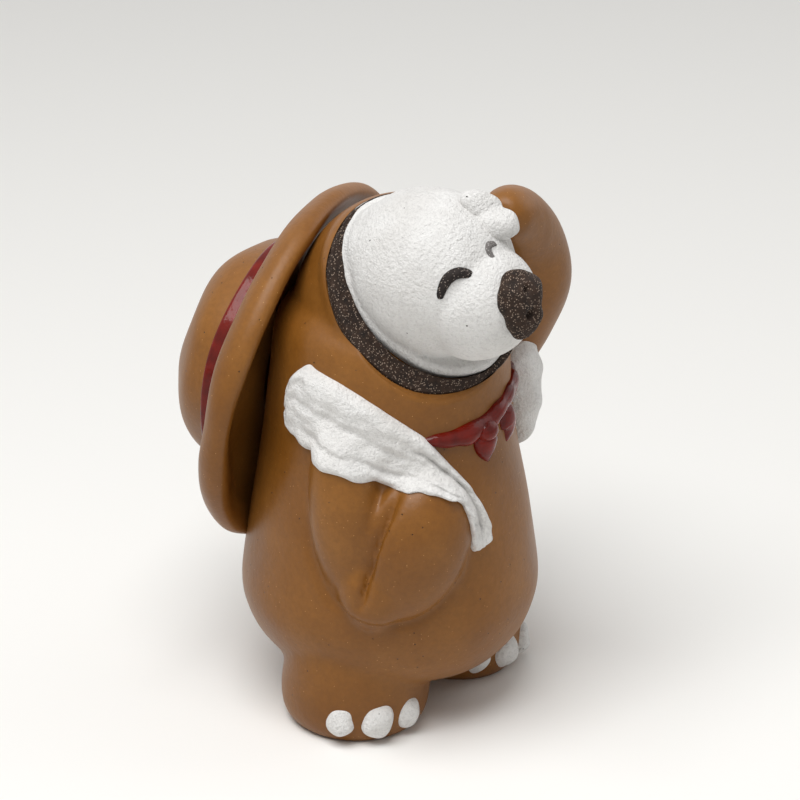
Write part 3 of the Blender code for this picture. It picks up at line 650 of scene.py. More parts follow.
skin = kneaded(rubbed("skin", joined(
    torso_form, head_form, cheek_form, leg("right"), leg("left"),
    ball("upper_arm_form", UPPER_ARM_RADII, UPPER_ARM),
    ball("forearm_form", FOREARM_RADII, FOREARM),
    ball("wrist_form", WRIST_RADII, WRIST),
    coil("raised_arm_form", RAISED_ARM)), SKIN_GRAIN, SKIN_RUBBING, SHRINKAGE), *SKIN_KNEADING)
for radius, depth, rows in ARM_LINES:
    press(skin, rows, radius, depth)
for vertex in skin.verts:
    vertex.co.z = max(vertex.co.z, 0.0)

RAISED_PATH = [(Vector(row[:3]), row[3]) for row in smooth_through([(*p, r) for p, r in RAISED_ARM], 4)]


def outside_torso(point):
    """Signed distance from the torso and head, less than zero inside."""
    flat = Vector((point.x - AXIS.x, point.y - AXIS.y)).length
    to_torso = flat - torso_radius(point.z) if point.z < NECK_HEIGHT else math.inf
    return min(to_torso, (point - HEAD_CENTRE).length - HEAD_RADIUS)


def outside_leg(point, side):
    """Signed distance from a leg, taken as an upright drum with a rounded top edge."""
    centre, radius = LEGS[side]
    flat = Vector((point.x - centre.x, point.y - centre.y)).length
    return math.hypot(max(flat - 0.94 * radius, 0.0), max(point.z - 0.8 * LEG_HEIGHT, 0.0)) - 0.06 * radius


def outside_ball(point, place, radii):
    """Signed distance from an egg, near enough close to its skin."""
    local = place.inverted() @ point
    near = Vector([local[k] / radii[k] for k in range(3)]).length
    slope = Vector([local[k] / radii[k] ** 2 for k in range(3)]).length
    return near * (near - 1.0) / slope if slope else -min(radii)


def outside_raised_arm(point):
    """Signed distance from the raised arm."""
    return min((point - spot).length - radius for spot, radius in RAISED_PATH)


def nearest_lump(point):
    """Name of the piece that a place on the skin belongs to."""
    reach = {
        "body_shell": outside_torso(point),
        "leg_right": outside_leg(point, "right"),
        "leg_left": outside_leg(point, "left"),
        "arm_right": min(outside_ball(point, UPPER_ARM, UPPER_ARM_RADII),
                         outside_ball(point, FOREARM, FOREARM_RADII),
                         outside_ball(point, WRIST, WRIST_RADII)),
        "arm_left": outside_raised_arm(point),
    }
    return min(reach, key=reach.get)


# The clay round the seat is pressed back until the rim stands just proud of it, except under the
# raised arm. Then the seat and the firing vent are cut.
RIM_PROUD = 0.15 * MM
FLUSH_SLOPE = 0.9
FLUSH_INSIDE = 1 * MM
FLUSH_REACH = 4 * MM
FLUSH_FADE = 1.5 * MM
ARM_CLEARANCE = 1.06
VENT_RADIUS = 4.6 * MM
VENT_TOP = 12 * MM
VENT_BOTTOM = -1 * MM
VENT_PLACE = AXIS + Vector((0, 7.2 * MM, 0))
SHARED_SKIN = 0.01 * MM

to_rim = RIM.inverted()
for vertex in skin.verts:
    spot = to_rim @ vertex.co
    reach = math.hypot(spot.x, spot.y)
    clear = outside_raised_arm(vertex.co) - outside_torso(vertex.co)
    edge = rim_reach(math.atan2(spot.y, spot.x)) + SEAT_PLAY
    flush = RIM_TOP - RIM_PROUD + max(0.0, FLUSH_SLOPE * (reach - edge))
    beside = edge - FLUSH_INSIDE < reach < edge + FLUSH_REACH
    if beside and flush < spot.z < flush + FLUSH_REACH and clear > 0:
        spot.z += (flush - spot.z) * min(1.0, clear / FLUSH_FADE)
        vertex.co = RIM @ spot

skin_mesh = new_mesh("skin", skin)
skin_surface = surface_of(skin_mesh)
arm_in_the_way = coil("arm_in_the_way", [(point, ARM_CLEARANCE * radius) for point, radius in RAISED_ARM])
blank = turned("face_seat", [(0.0, BLANK_RADIUS), (BLANK_RADIUS, BLANK_RADIUS), (BLANK_RADIUS, -SEAT_DEPTH),
                             (0.0, -SEAT_DEPTH)], Matrix(), OCHRE)
seat = cut_with("face_seat", joined(shaped_as_rim(blank, BLANK_RADIUS, SEAT_PLAY)), arm_in_the_way)
vent = turned("vent", [(0.0, VENT_TOP), (VENT_RADIUS, VENT_TOP), (VENT_RADIUS, VENT_BOTTOM),
                       (0.0, VENT_BOTTOM)], Matrix.Translation(VENT_PLACE), OCHRE)
cut_skin = cut_with("cut_skin", joined(skin_mesh), seat, vent)
owners = {}
for face in cut_skin.polygons:
    owners.setdefault(nearest_lump(face.center), set()).add(face.index)


def own_part(name):
    """The part of the skin that belongs to one piece, closed behind the seam where it was luted on."""
    bm = joined(cut_skin)
    bmesh.ops.delete(bm, geom=[f for f in bm.faces if f.index not in owners[name]], context="FACES")
    walls = bmesh.ops.extrude_edge_only(bm, edges=[e for e in bm.edges if e.is_boundary])["geom"]
    for vertex in [v for v in walls if isinstance(v, bmesh.types.BMVert)]:
        spot, normal, index, distance = skin_surface.find_nearest(vertex.co)
        vertex.co -= normal * SEAM_DEPTH
    made = bmesh.ops.holes_fill(bm, edges=[e for e in bm.edges if e.is_boundary], sides=0)
    bmesh.ops.triangulate(bm, faces=made["faces"])
    return bm


def skin_normal(point, facet_normal):
    """The whole skin's smooth normal at a place, or the facet's own where a cut has left the skin."""
    spot, normal, index, distance = skin_surface.find_nearest(point)
    corners = [skin_mesh.vertices[k] for k in skin_mesh.polygons[index].vertices]
    shares = poly_3d_calc([corner.co for corner in corners], spot)
    smooth = sum((share * corner.normal for share, corner in zip(shares, corners)), Vector()).normalized()
    return smooth if distance < SHARED_SKIN and smooth.dot(facet_normal) > 0.5 else facet_normal


def shaded_as_skin(mesh):
    """Shades a part as if the skin had never been parted, so that no seam shows."""
    mesh.normals_split_custom_set([skin_normal(mesh.vertices[k].co, face.normal)
                                   for face in mesh.polygons for k in face.vertices])
    return mesh


for name in ("body_shell", "leg_right", "leg_left", "arm_right", "arm_left"):
    add_piece(name + "_clay", shaded_as_skin(new_mesh(name, own_part(name))), OCHRE, name, slot="ochre_clay")


# Toes: three pads of white slip clay, pressed on the front of each foot.

TOE_RADII = mm(2.4, 2.7, 2.1)
TOE_HEIGHT = 3.7 * MM
TOE_SPREAD = 29
TOE_REACH_SHARE = 0.94
OUTER_TOE_SHARE = 0.86
TOE_KNEADING = (0.5 * MM, 2.6 * MM, 5.3)
FOOT_TURNS = {"right": -32, "left": -3}


def white_slip_clay():
    """Unglazed white slip clay: chalky, with fine sand, grey freckles and a few pits darkened with painted
    shade.
    """
    material, tree, place = new_clay("unglazed_white_slip_clay")
    mottle = mottling(tree, place, 5 * MM, 0.35, 0.7)
    dust = mottling(tree, place, 0.28 * MM, 0.50, 0.66, roughness=0.7, most=0.26)
    # Pits: real dents in the bump, with dark colour painted in them as shade.
    pit_and_painted_shade = specks(tree, place, 1.9 * MM, 0.12, 0.075)
    feed(tree, tree.nodes["Principled BSDF"], {
        "Base Color": layered(tree, "#e9e8e6", (mottle, "#dcdad7"), (dust, "#a3a09e"), (pit_and_painted_shade, "#4a423c")),
        "Roughness": 0.85,
        "Normal": bumped(tree, (grain(tree, place, 2.0 * MM), 0.35, 0.5 * MM),
                         (grain(tree, place, 0.32 * MM, 3.0, 0.7), 1.0, 0.42 * MM),
                         (pit_and_painted_shade, 0.9, -0.2 * MM))})
    return material


WHITE = white_slip_clay()


def toe_tree():
    """A row of pads round the front of a foot: Count pads, Spread apart, on a Reach from the middle."""
    tree, given = clay_tree("toe_row", (
        ("Foot", "Geometry"), ("Count", "Int"), ("Turn", "Float"), ("Spread", "Float"),
        ("Reach", "Float"), ("Pad Size", "Vector"), ("Outer Pads", "Float"), ("Clay", "Material")))
    points = add_node(tree, "GeometryNodePoints", {"Count": given["Count"]})
    index = add_node(tree, "GeometryNodeInputIndex")
    last = add_node(tree, "ShaderNodeMath", {0: given["Count"], 1: -1.0}, operation="ADD")
    middle = add_node(tree, "ShaderNodeMath", {0: last, 1: -0.5, 2: index}, operation="MULTIPLY_ADD")
    angle = add_node(tree, "ShaderNodeMath", {0: middle, 1: given["Spread"], 2: given["Turn"]},
                     operation="MULTIPLY_ADD")
    turn = add_node(tree, "ShaderNodeCombineXYZ", {2: angle})
    forward = add_node(tree, "ShaderNodeMath", {0: given["Reach"], 1: -1.0}, operation="MULTIPLY")
    outward = add_node(tree, "ShaderNodeCombineXYZ", {1: forward})
    spot = add_node(tree, "ShaderNodeVectorRotate", {"Vector": outward, "Angle": angle},
                    rotation_type="Z_AXIS")
    placed = add_node(tree, "GeometryNodeSetPosition", {"Geometry": points, "Position": spot})
    pad = add_node(tree, "GeometryNodeMeshUVSphere", {"Segments": 48, "Rings": 28, "Radius": 1.0})
    outer = add_node(tree, "ShaderNodeMath", {0: middle}, operation="ABSOLUTE")
    less = add_node(tree, "ShaderNodeMath", {0: given["Outer Pads"], 1: -1.0}, operation="ADD")
    share = add_node(tree, "ShaderNodeMath", {0: outer, 1: less, 2: 1.0}, operation="MULTIPLY_ADD")
    scale = add_node(tree, "ShaderNodeVectorMath", {0: given["Pad Size"], "Scale": share}, operation="SCALE")
    row = add_node(tree, "GeometryNodeInstanceOnPoints",
                   {"Points": placed, "Instance": pad, "Rotation": turn, "Scale": scale})
    return finished_tree(tree, row, given["Clay"])


TOE_ROW = toe_tree()
for side, (centre, radius) in LEGS.items():
    row = baked("toes_" + side, bpy.data.meshes.new("foot"), TOE_ROW,
                {"Count": 3, "Turn": math.radians(FOOT_TURNS[side]), "Spread": math.radians(TOE_SPREAD),
                 "Reach": TOE_REACH_SHARE * radius, "Pad Size": (TOE_RADII.x, TOE_RADII.z, TOE_RADII.y),
                 "Outer Pads": OUTER_TOE_SHARE, "Clay": WHITE},
                Matrix.Translation(centre + Vector((0, 0, TOE_HEIGHT))))
    add_piece("toes_" + side + "_slip", new_mesh("toes_" + side, kneaded(joined(row), *TOE_KNEADING)), WHITE,
              *["toe_" + side + "_" + toe for toe in ("inner", "middle", "outer")], slot="white_slip")


# Face: a white mask with a thin lip sits in a rim of dark sandy clay. The nose is a pad of the same
# dark clay with two dents, and the closed eyes are cut into the mask and filled with it.

LIP_HALF_WIDTH = 10.8 * MM
LIP_HALF_HEIGHT = 14.2 * MM
LIP_CENTRE = mm(0.3, 1.0, 0)
LIP_TOP = 1.5 * MM
LIP_DEPTH = 2 * MM
LIP_EDGE = ((0.0, 0.45), (0.2, 0.82), (0.7, 1.0), (1.6, 0.55))
LIP_OVERLAP = 0.2 * MM
CHIN_GAP = 0.9 * MM
CHIN_GAP_ANGLE = math.radians(-150)
SEAT_GAP = 0.3 * MM
FLOOR = SEAT_GAP - SEAT_DEPTH
BLANK_HOLE = 11.0 * MM
RIM_ROUNDING = 0.45 * MM
RIM_LEAST_WIDTH = 0.9 * MM
RIM_KNEADING = (0.25 * MM, 3.0 * MM, 8.1)
BROW_RADII = mm(10.8, 12.0, 12.6)
BROW_CENTRE = mm(0.6, 2.1, 4.0)
TEMPLE_RADII = mm(8.4, 9.9, 7.5)
TEMPLE_CENTRE = mm(-0.3, 4.6, 2.0)
MUZZLE_RADII = mm(8.0, 7.9, 9.0)
MUZZLE_CENTRE = mm(-0.2, -4.4, 9.0)
MASK_GRAIN = 0.28 * MM
MASK_RUBBING = 8
MASK_SWELL = 0.05 * MM
MASK_KNEADING = (0.22 * MM, 4.5 * MM, 3.3)
ABOVE_FACE = 40 * MM
EYE_LINE = 1.3 * MM
GROOVE_DEPTH = 0.05 * MM
GROOVE_GRAIN = 0.12 * MM
GROOVE_RUBBING = 2
INLAY_DEPTH = 0.22 * MM
INLAY_SHARE = 0.97
NOSE_RADII = mm(3.5, 4.8, 2.5)
NOSE_TAPER = 0.18
NOSE_DROOP, NOSE_TURN = 24, -32
NOSE_KNEADING = (0.5 * MM, 2.2 * MM, 4.4)
NOSTRIL_LEVEL = 0.9
NOSTRILS = ((-0.7, 2.2, 0.50, 1.1), (-0.3, -1.5, 0.75, 1.5))


def dark_sandy_clay(name, base, shade, sand_colour, share):
    """Dark clay full of pale sand: the share of 0.22 mm cells that hold a pale grain."""
    material, tree, place = new_clay(name)
    mottle = mottling(tree, place, 0.8 * MM, 0.3, 0.7, roughness=0.7)
    sand = specks(tree, place, 0.22 * MM, share, 0.45)
    feed(tree, tree.nodes["Principled BSDF"], {
        "Base Color": layered(tree, base, (mottle, shade), (sand, sand_colour)),
        "Roughness": 0.72,
        "Specular IOR Level": 0.25,
        "Normal": bumped(tree, (grain(tree, place, 0.3 * MM, 3.0, 0.75), 0.8, 0.22 * MM))})
    return material


DARK = dark_sandy_clay("dark_sandy_stoneware", "#36261c", "#160f0b", "#948273", 0.38)
EYE_CLAY = {"right": dark_sandy_clay("dark_clay_inlay", "#2a2320", "#161110", "#8d8178", 0.30),
            "left": dark_sandy_clay("thin_dark_clay_inlay", "#85817f", "#5f5b59", "#aaa6a3", 0.40)}


def rounded_ring(inner, outer, low, high, rounding):
    """Section of a flat ring whose upper edges are rounded, as (radius, height) points."""
    def corner(x, y, start):
        return [(x + rounding * math.cos(math.radians(start + 15 * k)),
                 y + rounding * math.sin(math.radians(start + 15 * k))) for k in range(7)]
    return ([(outer, low)] + corner(outer - rounding, high - rounding, 0)
            + corner(inner + rounding, high - rounding, 90) + [(inner, low)])


def lip_reach(angle):
    """Distance from the rim's centre to the lip's outer edge at an angle."""
    a, b = LIP_HALF_WIDTH, LIP_HALF_HEIGHT
    offset = RIM_CENTRE - LIP_CENTRE
    x, y = math.cos(angle), math.sin(angle)
    square = (x / a) ** 2 + (y / b) ** 2
    along = offset.x * x / a ** 2 + offset.y * y / b ** 2
    rest = (offset.x / a) ** 2 + (offset.y / b) ** 2 - 1
    return (math.sqrt(along ** 2 - square * rest) - along) / square


rim = joined(turned("face_rim", rounded_ring(BLANK_HOLE, BLANK_RADIUS, FLOOR, RIM_TOP, RIM_ROUNDING),
                    Matrix(), DARK, along=160, around_it=256))
for vertex in rim.verts:
    flat = Vector((vertex.co.x, vertex.co.y, 0))
    angle = math.atan2(flat.y, flat.x)
    edge = rim_reach(angle)
    hole = lip_reach(angle) - LIP_OVERLAP + CHIN_GAP * max(0.0, math.cos(angle - CHIN_GAP_ANGLE)) ** 2
    hole = min(hole, edge - RIM_LEAST_WIDTH)
    share = (flat.length - BLANK_HOLE) / (BLANK_RADIUS - BLANK_HOLE)
    vertex.co += flat.normalized() * (hole + share * (edge - hole) - flat.length)
bmesh.ops.transform(rim, matrix=RIM, verts=rim.verts)
add_piece("face_rim_clay", new_mesh("face_rim", kneaded(rim, *RIM_KNEADING)), DARK, "face_rim",
          slot="dark_sand_clay")

# The mask is turned and modelled from four lumps, and cut off flat where it lies in its seat.
lip = turned("lip_form", [
    (0.0, FLOOR - LIP_DEPTH), (LIP_HALF_WIDTH, FLOOR - LIP_DEPTH),
    *[(LIP_HALF_WIDTH - inset * MM, share * LIP_TOP) for inset, share in LIP_EDGE],
    (0.0, 0.2 * LIP_TOP)],
    FACE @ Matrix.Translation(LIP_CENTRE)
    @ Matrix.Diagonal((1, LIP_HALF_HEIGHT / LIP_HALF_WIDTH, 1, 1)), WHITE)
lumps = [ball(name, radii, FACE @ Matrix.Translation(centre), 96) for name, radii, centre in (
    ("brow_form", BROW_RADII, BROW_CENTRE),
    ("temple_form", TEMPLE_RADII, TEMPLE_CENTRE),
    ("muzzle_form", MUZZLE_RADII, MUZZLE_CENTRE))]
mask = kneaded(rubbed("mask", joined(lip, *lumps), MASK_GRAIN, MASK_RUBBING, MASK_SWELL), *MASK_KNEADING)
FACE_NORMAL = FACE.to_3x3() @ Vector((0, 0, 1))
bmesh.ops.bisect_plane(mask, geom=mask.verts[:] + mask.edges[:] + mask.faces[:], clear_inner=True,
                       plane_co=FACE @ Vector((0, 0, FLOOR)), plane_no=FACE_NORMAL.normalized())
bmesh.ops.holes_fill(mask, edges=[e for e in mask.edges if e.is_boundary], sides=0)
mask_mesh = new_mesh("mask", mask)
mask_surface = surface_of(mask_mesh)


def on_mask(x, y, lift):
    """Point over the mask at a place on the face in mm, left and up from its middle."""
    start = FACE @ Vector((x * MM, y * MM, ABOVE_FACE))
    spot, normal, index, distance = mask_surface.ray_cast(start, -FACE_NORMAL)
    return spot + normal * lift


# Each eye as rows of its place on the face in mm and its share of the line's width.
EYES = {
    "right": ((-6.35, 0.30, 0.60), (-6.12, 0.70, 0.85), (-5.30, 1.28, 1.08), (-4.38, 1.60, 1.22),
              (-3.46, 1.44, 1.26), (-2.70, 0.90, 1.18), (-2.12, 0.12, 0.95), (-2.00, -0.20, 0.60)),
    "left": ((2.05, -0.80, 0.50), (2.25, -0.30, 0.76), (2.50, 0.25, 0.84), (3.05, 0.62, 0.84),
             (3.75, 0.40, 0.72), (4.35, -0.15, 0.42))}


def eye_coil(name, rows, depth, fill=1.0):
    """A coil along an eye, its middle so deep under the mask's skin."""
    return coil(name, [(on_mask(x, y, -depth), fill * share * EYE_LINE / 2) for x, y, share in rows])


grooves = []
for side, rows in EYES.items():
    name = "eye_groove_" + side
    groove = rubbed(name, joined(eye_coil(name, rows, GROOVE_DEPTH)), GROOVE_GRAIN, GROOVE_RUBBING)
    grooves.append(new_mesh(name, groove))
    add_piece("eye_" + side + "_inlay", eye_coil("eye_" + side, rows, INLAY_DEPTH, INLAY_SHARE),
              EYE_CLAY[side], "eye_" + side, slot="dark_sand_clay")
add_piece("face_mask_slip", cut_with("face_mask", joined(mask_mesh), *grooves), WHITE, "face_mask",
          slot="white_slip")

droop = math.radians(NOSE_DROOP)
NOSE = (FACE @ Matrix.Translation(MUZZLE_CENTRE)
        @ Matrix.Translation((0, -MUZZLE_RADII.y * math.sin(droop), MUZZLE_RADII.z * math.cos(droop)))
        @ Matrix.Rotation(droop, 4, "X") @ Matrix.Rotation(math.radians(NOSE_TURN), 4, "Z"))
nose_form = ball("nose_form", NOSE_RADII, Matrix(), 128)
for vertex in nose_form.vertices:
    vertex.co.x *= 1 + NOSE_TAPER * vertex.co.y / NOSE_RADII.y
nose_form.transform(NOSE)
nose = joined(nose_form)
for x, y, radius, depth in NOSTRILS:
    nostril = NOSE @ Vector((x * MM, y * MM, NOSTRIL_LEVEL * NOSE_RADII.z))
    for vertex, normal in with_normals(nose):
        distance = (vertex.co - nostril).length
        vertex.co -= normal * (depth * MM) * math.exp(-(distance / (radius * MM)) ** 2)
add_piece("nose_clay", new_mesh("nose", kneaded(nose, *NOSE_KNEADING)), DARK, "nose", slot="dark_sand_clay")


# White bands and fingers: strips of slip clay patted over the shoulders, thick along the middle and
# feathered out ragged at the lower edge, and two fingers at the end of the raised arm.

# The right band as rows of azimuth and height in mm of its two long edges. Its creases run from a
# start to a stop along the strip, between two places across it, with a width and a depth.
BAND_RIGHT = (
    (-105.2, 49.4, -106.5, 46.8), (-100, 53.1, -104.5, 44.6), (-93, 55.1, -99, 43.8),
    (-86.7, 54.7, -93, 43.0), (-77, 53.9, -84, 42.9), (-66.6, 52.7, -76, 42.6),
    (-56.9, 51.1, -67, 41.9), (-47.7, 49.3, -57.5, 40.3), (-40.8, 47.8, -47.5, 39.6),
    (-33.8, 46.1, -39.5, 40.0), (-27.8, 43.9, -33, 39.4), (-21.8, 41.6, -27.3, 38.5),
    (-15.8, 39.2, -23.2, 37.4), (-11.4, 36.8, -21.2, 35.4), (-8.4, 34.5, -19.6, 33.4),
    (-7.0, 31.9, -18.2, 31.6), (-8.2, 29.8, -16.4, 29.7), (-12.0, 28.6, -14.6, 28.7))
BAND_CREASES = ((0.05, 0.55, 0.42, 0.50, 0.05, 0.22), (0.12, 0.70, 0.75, 0.80, 0.05, 0.35),
                (0.45, 0.95, 0.30, 0.45, 0.05, 0.40))
BAND_THICKNESS = 1.8 * MM
BAND_COLUMNS = 48
BAND_SEED = 2.0
HANG_PASSES = 90

# How ragged its lower edge is, as a share of its width, and its folds and lumps as shares of its
# thickness. Its top and underside lie a little deeper than the skin and the clay on it would give.
RAGGED = 0.04
FOLDS = 0.8
LUMPS = 0.22
TOP_SINK = 0.1 * MM
UNDERSIDE_SINK = 0.9 * MM


def rough(x, y=0.0, z=0.0):
    """Noise along and across the strip."""
    return noise.noise(Vector((x + BAND_SEED, y, z)))


def hanging(skin_reach):
    """The reach of a strip that spans the hollows of the skin below it."""
    hung = skin_reach.copy()
    for _ in range(HANG_PASSES):
        padded = numpy.pad(hung, 1, mode="edge")
        hung = numpy.maximum(skin_reach, 0.5 * hung + 0.125 * (
            padded[:-2, 1:-1] + padded[2:, 1:-1] + padded[1:-1, :-2] + padded[1:-1, 2:]))
    return hung


def draped(name, rows):
    """A strip that hangs over the skin between two long edges."""
    route = smooth_through(rows, 9)
    places, reaches = [], []
    for k, (azimuth_a, height_a, azimuth_b, height_b) in enumerate(route):
        t = k / (len(route) - 1)
        fray = RAGGED * (rough(9 * t, BAND_SEED) + rough(28 * t, BAND_SEED))
        for j in range(BAND_COLUMNS + 1):
            s = j / BAND_COLUMNS
            share = s * (1.0 + fray * s)
            azimuth = azimuth_a + (azimuth_b - azimuth_a) * share
            height = (height_a + (height_b - height_a) * share) * MM
            places.append((azimuth, height))
            reaches.append(OUTSIDE - first_met(skin_surface, azimuth, height)[3])
    skin_reach = numpy.array(reaches).reshape(len(route), BAND_COLUMNS + 1)
    hung = hanging(skin_reach)
    bm = bmesh.new()
    sections = []
    for k in range(len(route)):
        t = k / (len(route) - 1)
        end = min(1.0, 12 * t, 12 * (1 - t)) ** 0.5
        top, under = [], []
        for j in range(BAND_COLUMNS + 1):
            s = j / BAND_COLUMNS
            azimuth, height = places[k * (BAND_COLUMNS + 1) + j]
            body = min(1.0, 9 * s) ** 0.5 * (1 - 0.45 * s ** 2) * min(1.0, 10 * (1 - s)) ** 0.5
            for start, stop, at_start, at_stop, width, depth in BAND_CREASES:
                if start <= t <= stop:
                    middle = at_start + (at_stop - at_start) * (t - start) / (stop - start)
                    fade = min(1.0, 6 * (t - start) / (stop - start), 6 * (stop - t) / (stop - start))
                    body -= depth * fade * math.exp(-((s - middle) / width) ** 2)
            body += FOLDS * max(0.0, t - 0.45) * rough(20 * t, 3 * s, 1.0)
            body += LUMPS * rough(26 * t, 7 * s, 2.0)
            over = min(1.0, 6 * s, 6 * (1 - s)) * (hung[k, j] - skin_reach[k, j])
            radius = skin_reach[k, j] + over + BAND_THICKNESS * end * max(body, 0.0)
            top.append(bm.verts.new(AXIS + around(azimuth, radius - TOP_SINK, height)))
            under.append(bm.verts.new(AXIS + around(azimuth, skin_reach[k, j] - UNDERSIDE_SINK, height)))
        sections.append(top + under[::-1])
    for a, b in zip(sections, sections[1:]):
        for j in range(len(a)):
            n = (j + 1) % len(a)
            bm.faces.new((a[j], a[n], b[n], b[j]))
    bm.faces.new(sections[0])
    bm.faces.new(sections[-1])
    for _ in range(2):
        bmesh.ops.smooth_vert(bm, verts=bm.verts, factor=0.4, use_axis_x=True, use_axis_y=True,
                              use_axis_z=True)
    return new_mesh(name, bm)


add_piece("arm_band_right_slip", draped("arm_band_right", BAND_RIGHT), WHITE, "arm_band_right",
          slot="white_slip")

BAND_LEFT_RADIUS = 3.6 * MM
BAND_LEFT = [(on_torso(azimuth, height * MM, lift * MM), share * BAND_LEFT_RADIUS)
             for azimuth, height, lift, share in (
                 (61, 34.5, 0.2, 0.20), (61, 36.2, 1.0, 0.62), (60, 40.0, 1.6, 0.95),
                 (60, 44.5, 2.0, 1.00), (59, 49.0, 2.0, 0.90), (58, 51.5, 2.0, 0.50))]
BAND_LEFT_GRAIN, BAND_LEFT_RUBBING = 0.3 * MM, 6
BAND_LEFT_KNEADING = (0.6 * MM, 3.0 * MM, 6.2)
left_band = rubbed("band_left", joined(coil("band_left_form", BAND_LEFT)), BAND_LEFT_GRAIN, BAND_LEFT_RUBBING)
add_piece("arm_band_left_slip", new_mesh("arm_band_left", kneaded(left_band, *BAND_LEFT_KNEADING)), WHITE,
          "arm_band_left", slot="white_slip")

# Each finger's radii and its place on the face in mm, and its turn.
FINGERS = (((2.0, 3.1, 1.9), (7.1, 4.8), 41), ((2.2, 3.1, 2.0), (6.7, 1.4), 41))
FINGER_LIFT = 0.6 * MM
PAW_GRAIN, PAW_RUBBING = 0.25 * MM, 8
PAW_KNEADING = (0.5 * MM, 2.4 * MM, 7.7)
fingers = []
for radii, (x, y), turn in FINGERS:
    place = FACE.to_3x3().to_4x4()
    place.translation = on_mask(x, y, FINGER_LIFT)
    fingers.append(ball("finger_form", mm(*radii), place @ Matrix.Rotation(math.radians(turn), 4, "Z")))
paw = kneaded(rubbed("paw", joined(*fingers), PAW_GRAIN, PAW_RUBBING), *PAW_KNEADING)
add_piece("paw_left_slip", new_mesh("paw_left", paw), WHITE, "paw_left", slot="white_slip")


# Hat: a dished brim leans against the back, a hollow crown is luted on it, and a thin ribbon of
# glossy red slip runs round the crown's foot. The brim wavers a little, as a hand-turned one does.

HAT_PLACE = (179, 45.6 * MM, 0.9 * MM)
HAT_YAW, HAT_PITCH = 192.7, 8.6
BRIM_RADIUS = 26.4 * MM
BRIM_HOLE_RADIUS = 9.0 * MM
BRIM_BACK = 3.0 * MM
BRIM_DISH = 2.6 * MM
BRIM_WAVER = -0.9 * MM
BRIM_KNEADING = (0.5 * MM, 9 * MM, 2.9)
CROWN_RADIUS = 16.6 * MM
CROWN_HEIGHT = 11.9 * MM
CROWN_WALL = 2.4 * MM
CROWN_DROP = 0.7 * MM
LUTING = 0.1 * MM
CROWN_FOOT = BRIM_BACK + LUTING
CROWN_KNEADING = (0.5 * MM, 8 * MM, 3.8)
RIBBON_WIDTH = 2.6 * MM
RIBBON_THICKNESS = 0.7 * MM
RIBBON_SINK = 0.4 * MM
RIBBON_DROP = 0.2 * MM
RIBBON_ROUNDING = 0.45 * MM
RIBBON_WAVER = 0.15 * MM

HAT = facing(on_torso(*HAT_PLACE), HAT_YAW, HAT_PITCH)
CROWN = HAT @ Matrix.Translation((0, -CROWN_DROP, 0))


def glossy_red_slip():
    """Brushed red slip that has vitrified: deep red, shiny, a little uneven."""
    material, tree, place = new_clay("glossy_red_slip")
    feed(tree, tree.nodes["Principled BSDF"], {
        "Base Color": layered(tree, "#7a180a", (mottling(tree, place, 1.6 * MM, 0.32, 0.7), "#540d04")),
        "Roughness": 0.12,
        "Specular IOR Level": 0.22,
        "Normal": bumped(tree, (grain(tree, place, 0.9 * MM), 0.28, 0.3 * MM))})
    return material


RED = glossy_red_slip()

brim_section = smooth_through([
    (BRIM_HOLE_RADIUS, BRIM_BACK),
    (CROWN_RADIUS + RIBBON_THICKNESS, BRIM_BACK - LUTING),
    (0.89 * BRIM_RADIUS, BRIM_BACK - 0.60 * BRIM_DISH),
    (0.965 * BRIM_RADIUS, BRIM_BACK - 1.05 * BRIM_DISH),
    (BRIM_RADIUS, BRIM_BACK - 1.75 * BRIM_DISH),
    (0.985 * BRIM_RADIUS, BRIM_BACK - 2.35 * BRIM_DISH),
    (0.945 * BRIM_RADIUS, BRIM_BACK - 2.50 * BRIM_DISH),
    (0.87 * BRIM_RADIUS, BRIM_BACK - 2.15 * BRIM_DISH),
    (0.72 * BRIM_RADIUS, BRIM_BACK - 1.45 * BRIM_DISH),
    (BRIM_HOLE_RADIUS, 0.0)], 8)
brim = turned("hat_brim", brim_section, HAT, OCHRE, along=150, around_it=220, waver=BRIM_WAVER)
add_piece("hat_brim_clay", new_mesh("hat_brim", kneaded(joined(brim), *BRIM_KNEADING)), OCHRE, "hat_brim",
          slot="ochre_clay")

crown_top = CROWN_FOOT + CROWN_HEIGHT
crown_side = smooth_through([
    (0.0, crown_top),
    (0.30 * CROWN_RADIUS, crown_top - 0.035 * CROWN_HEIGHT),
    (0.56 * CROWN_RADIUS, crown_top - 0.13 * CROWN_HEIGHT),
    (0.78 * CROWN_RADIUS, crown_top - 0.29 * CROWN_HEIGHT),
    (0.93 * CROWN_RADIUS, crown_top - 0.50 * CROWN_HEIGHT),
    (CROWN_RADIUS, CROWN_FOOT + 0.20 * CROWN_HEIGHT),
    (CROWN_RADIUS, CROWN_FOOT)], 6)
lining = [(radius * (1 - CROWN_WALL / CROWN_RADIUS),
           CROWN_FOOT + (height - CROWN_FOOT) * (1 - CROWN_WALL / CROWN_HEIGHT))
          for radius, height in reversed(crown_side)]
crown = turned("hat_crown", crown_side + lining, CROWN, OCHRE, along=160, around_it=200)
add_piece("hat_crown_clay", new_mesh("hat_crown", kneaded(joined(crown), *CROWN_KNEADING)), OCHRE,
          "hat_crown", slot="ochre_clay")

ribbon_section = rounded_ring(CROWN_RADIUS - RIBBON_SINK, CROWN_RADIUS + RIBBON_THICKNESS,
                              CROWN_FOOT - RIBBON_DROP, CROWN_FOOT + RIBBON_WIDTH, RIBBON_ROUNDING)
ribbon = turned("hat_ribbon", ribbon_section + ribbon_section[:1], CROWN, RED, along=60, around_it=220,
                waver=RIBBON_WAVER, waves=5.0)
add_piece("hat_ribbon_slip", ribbon, RED, "hat_ribbon", slot="red_slip")


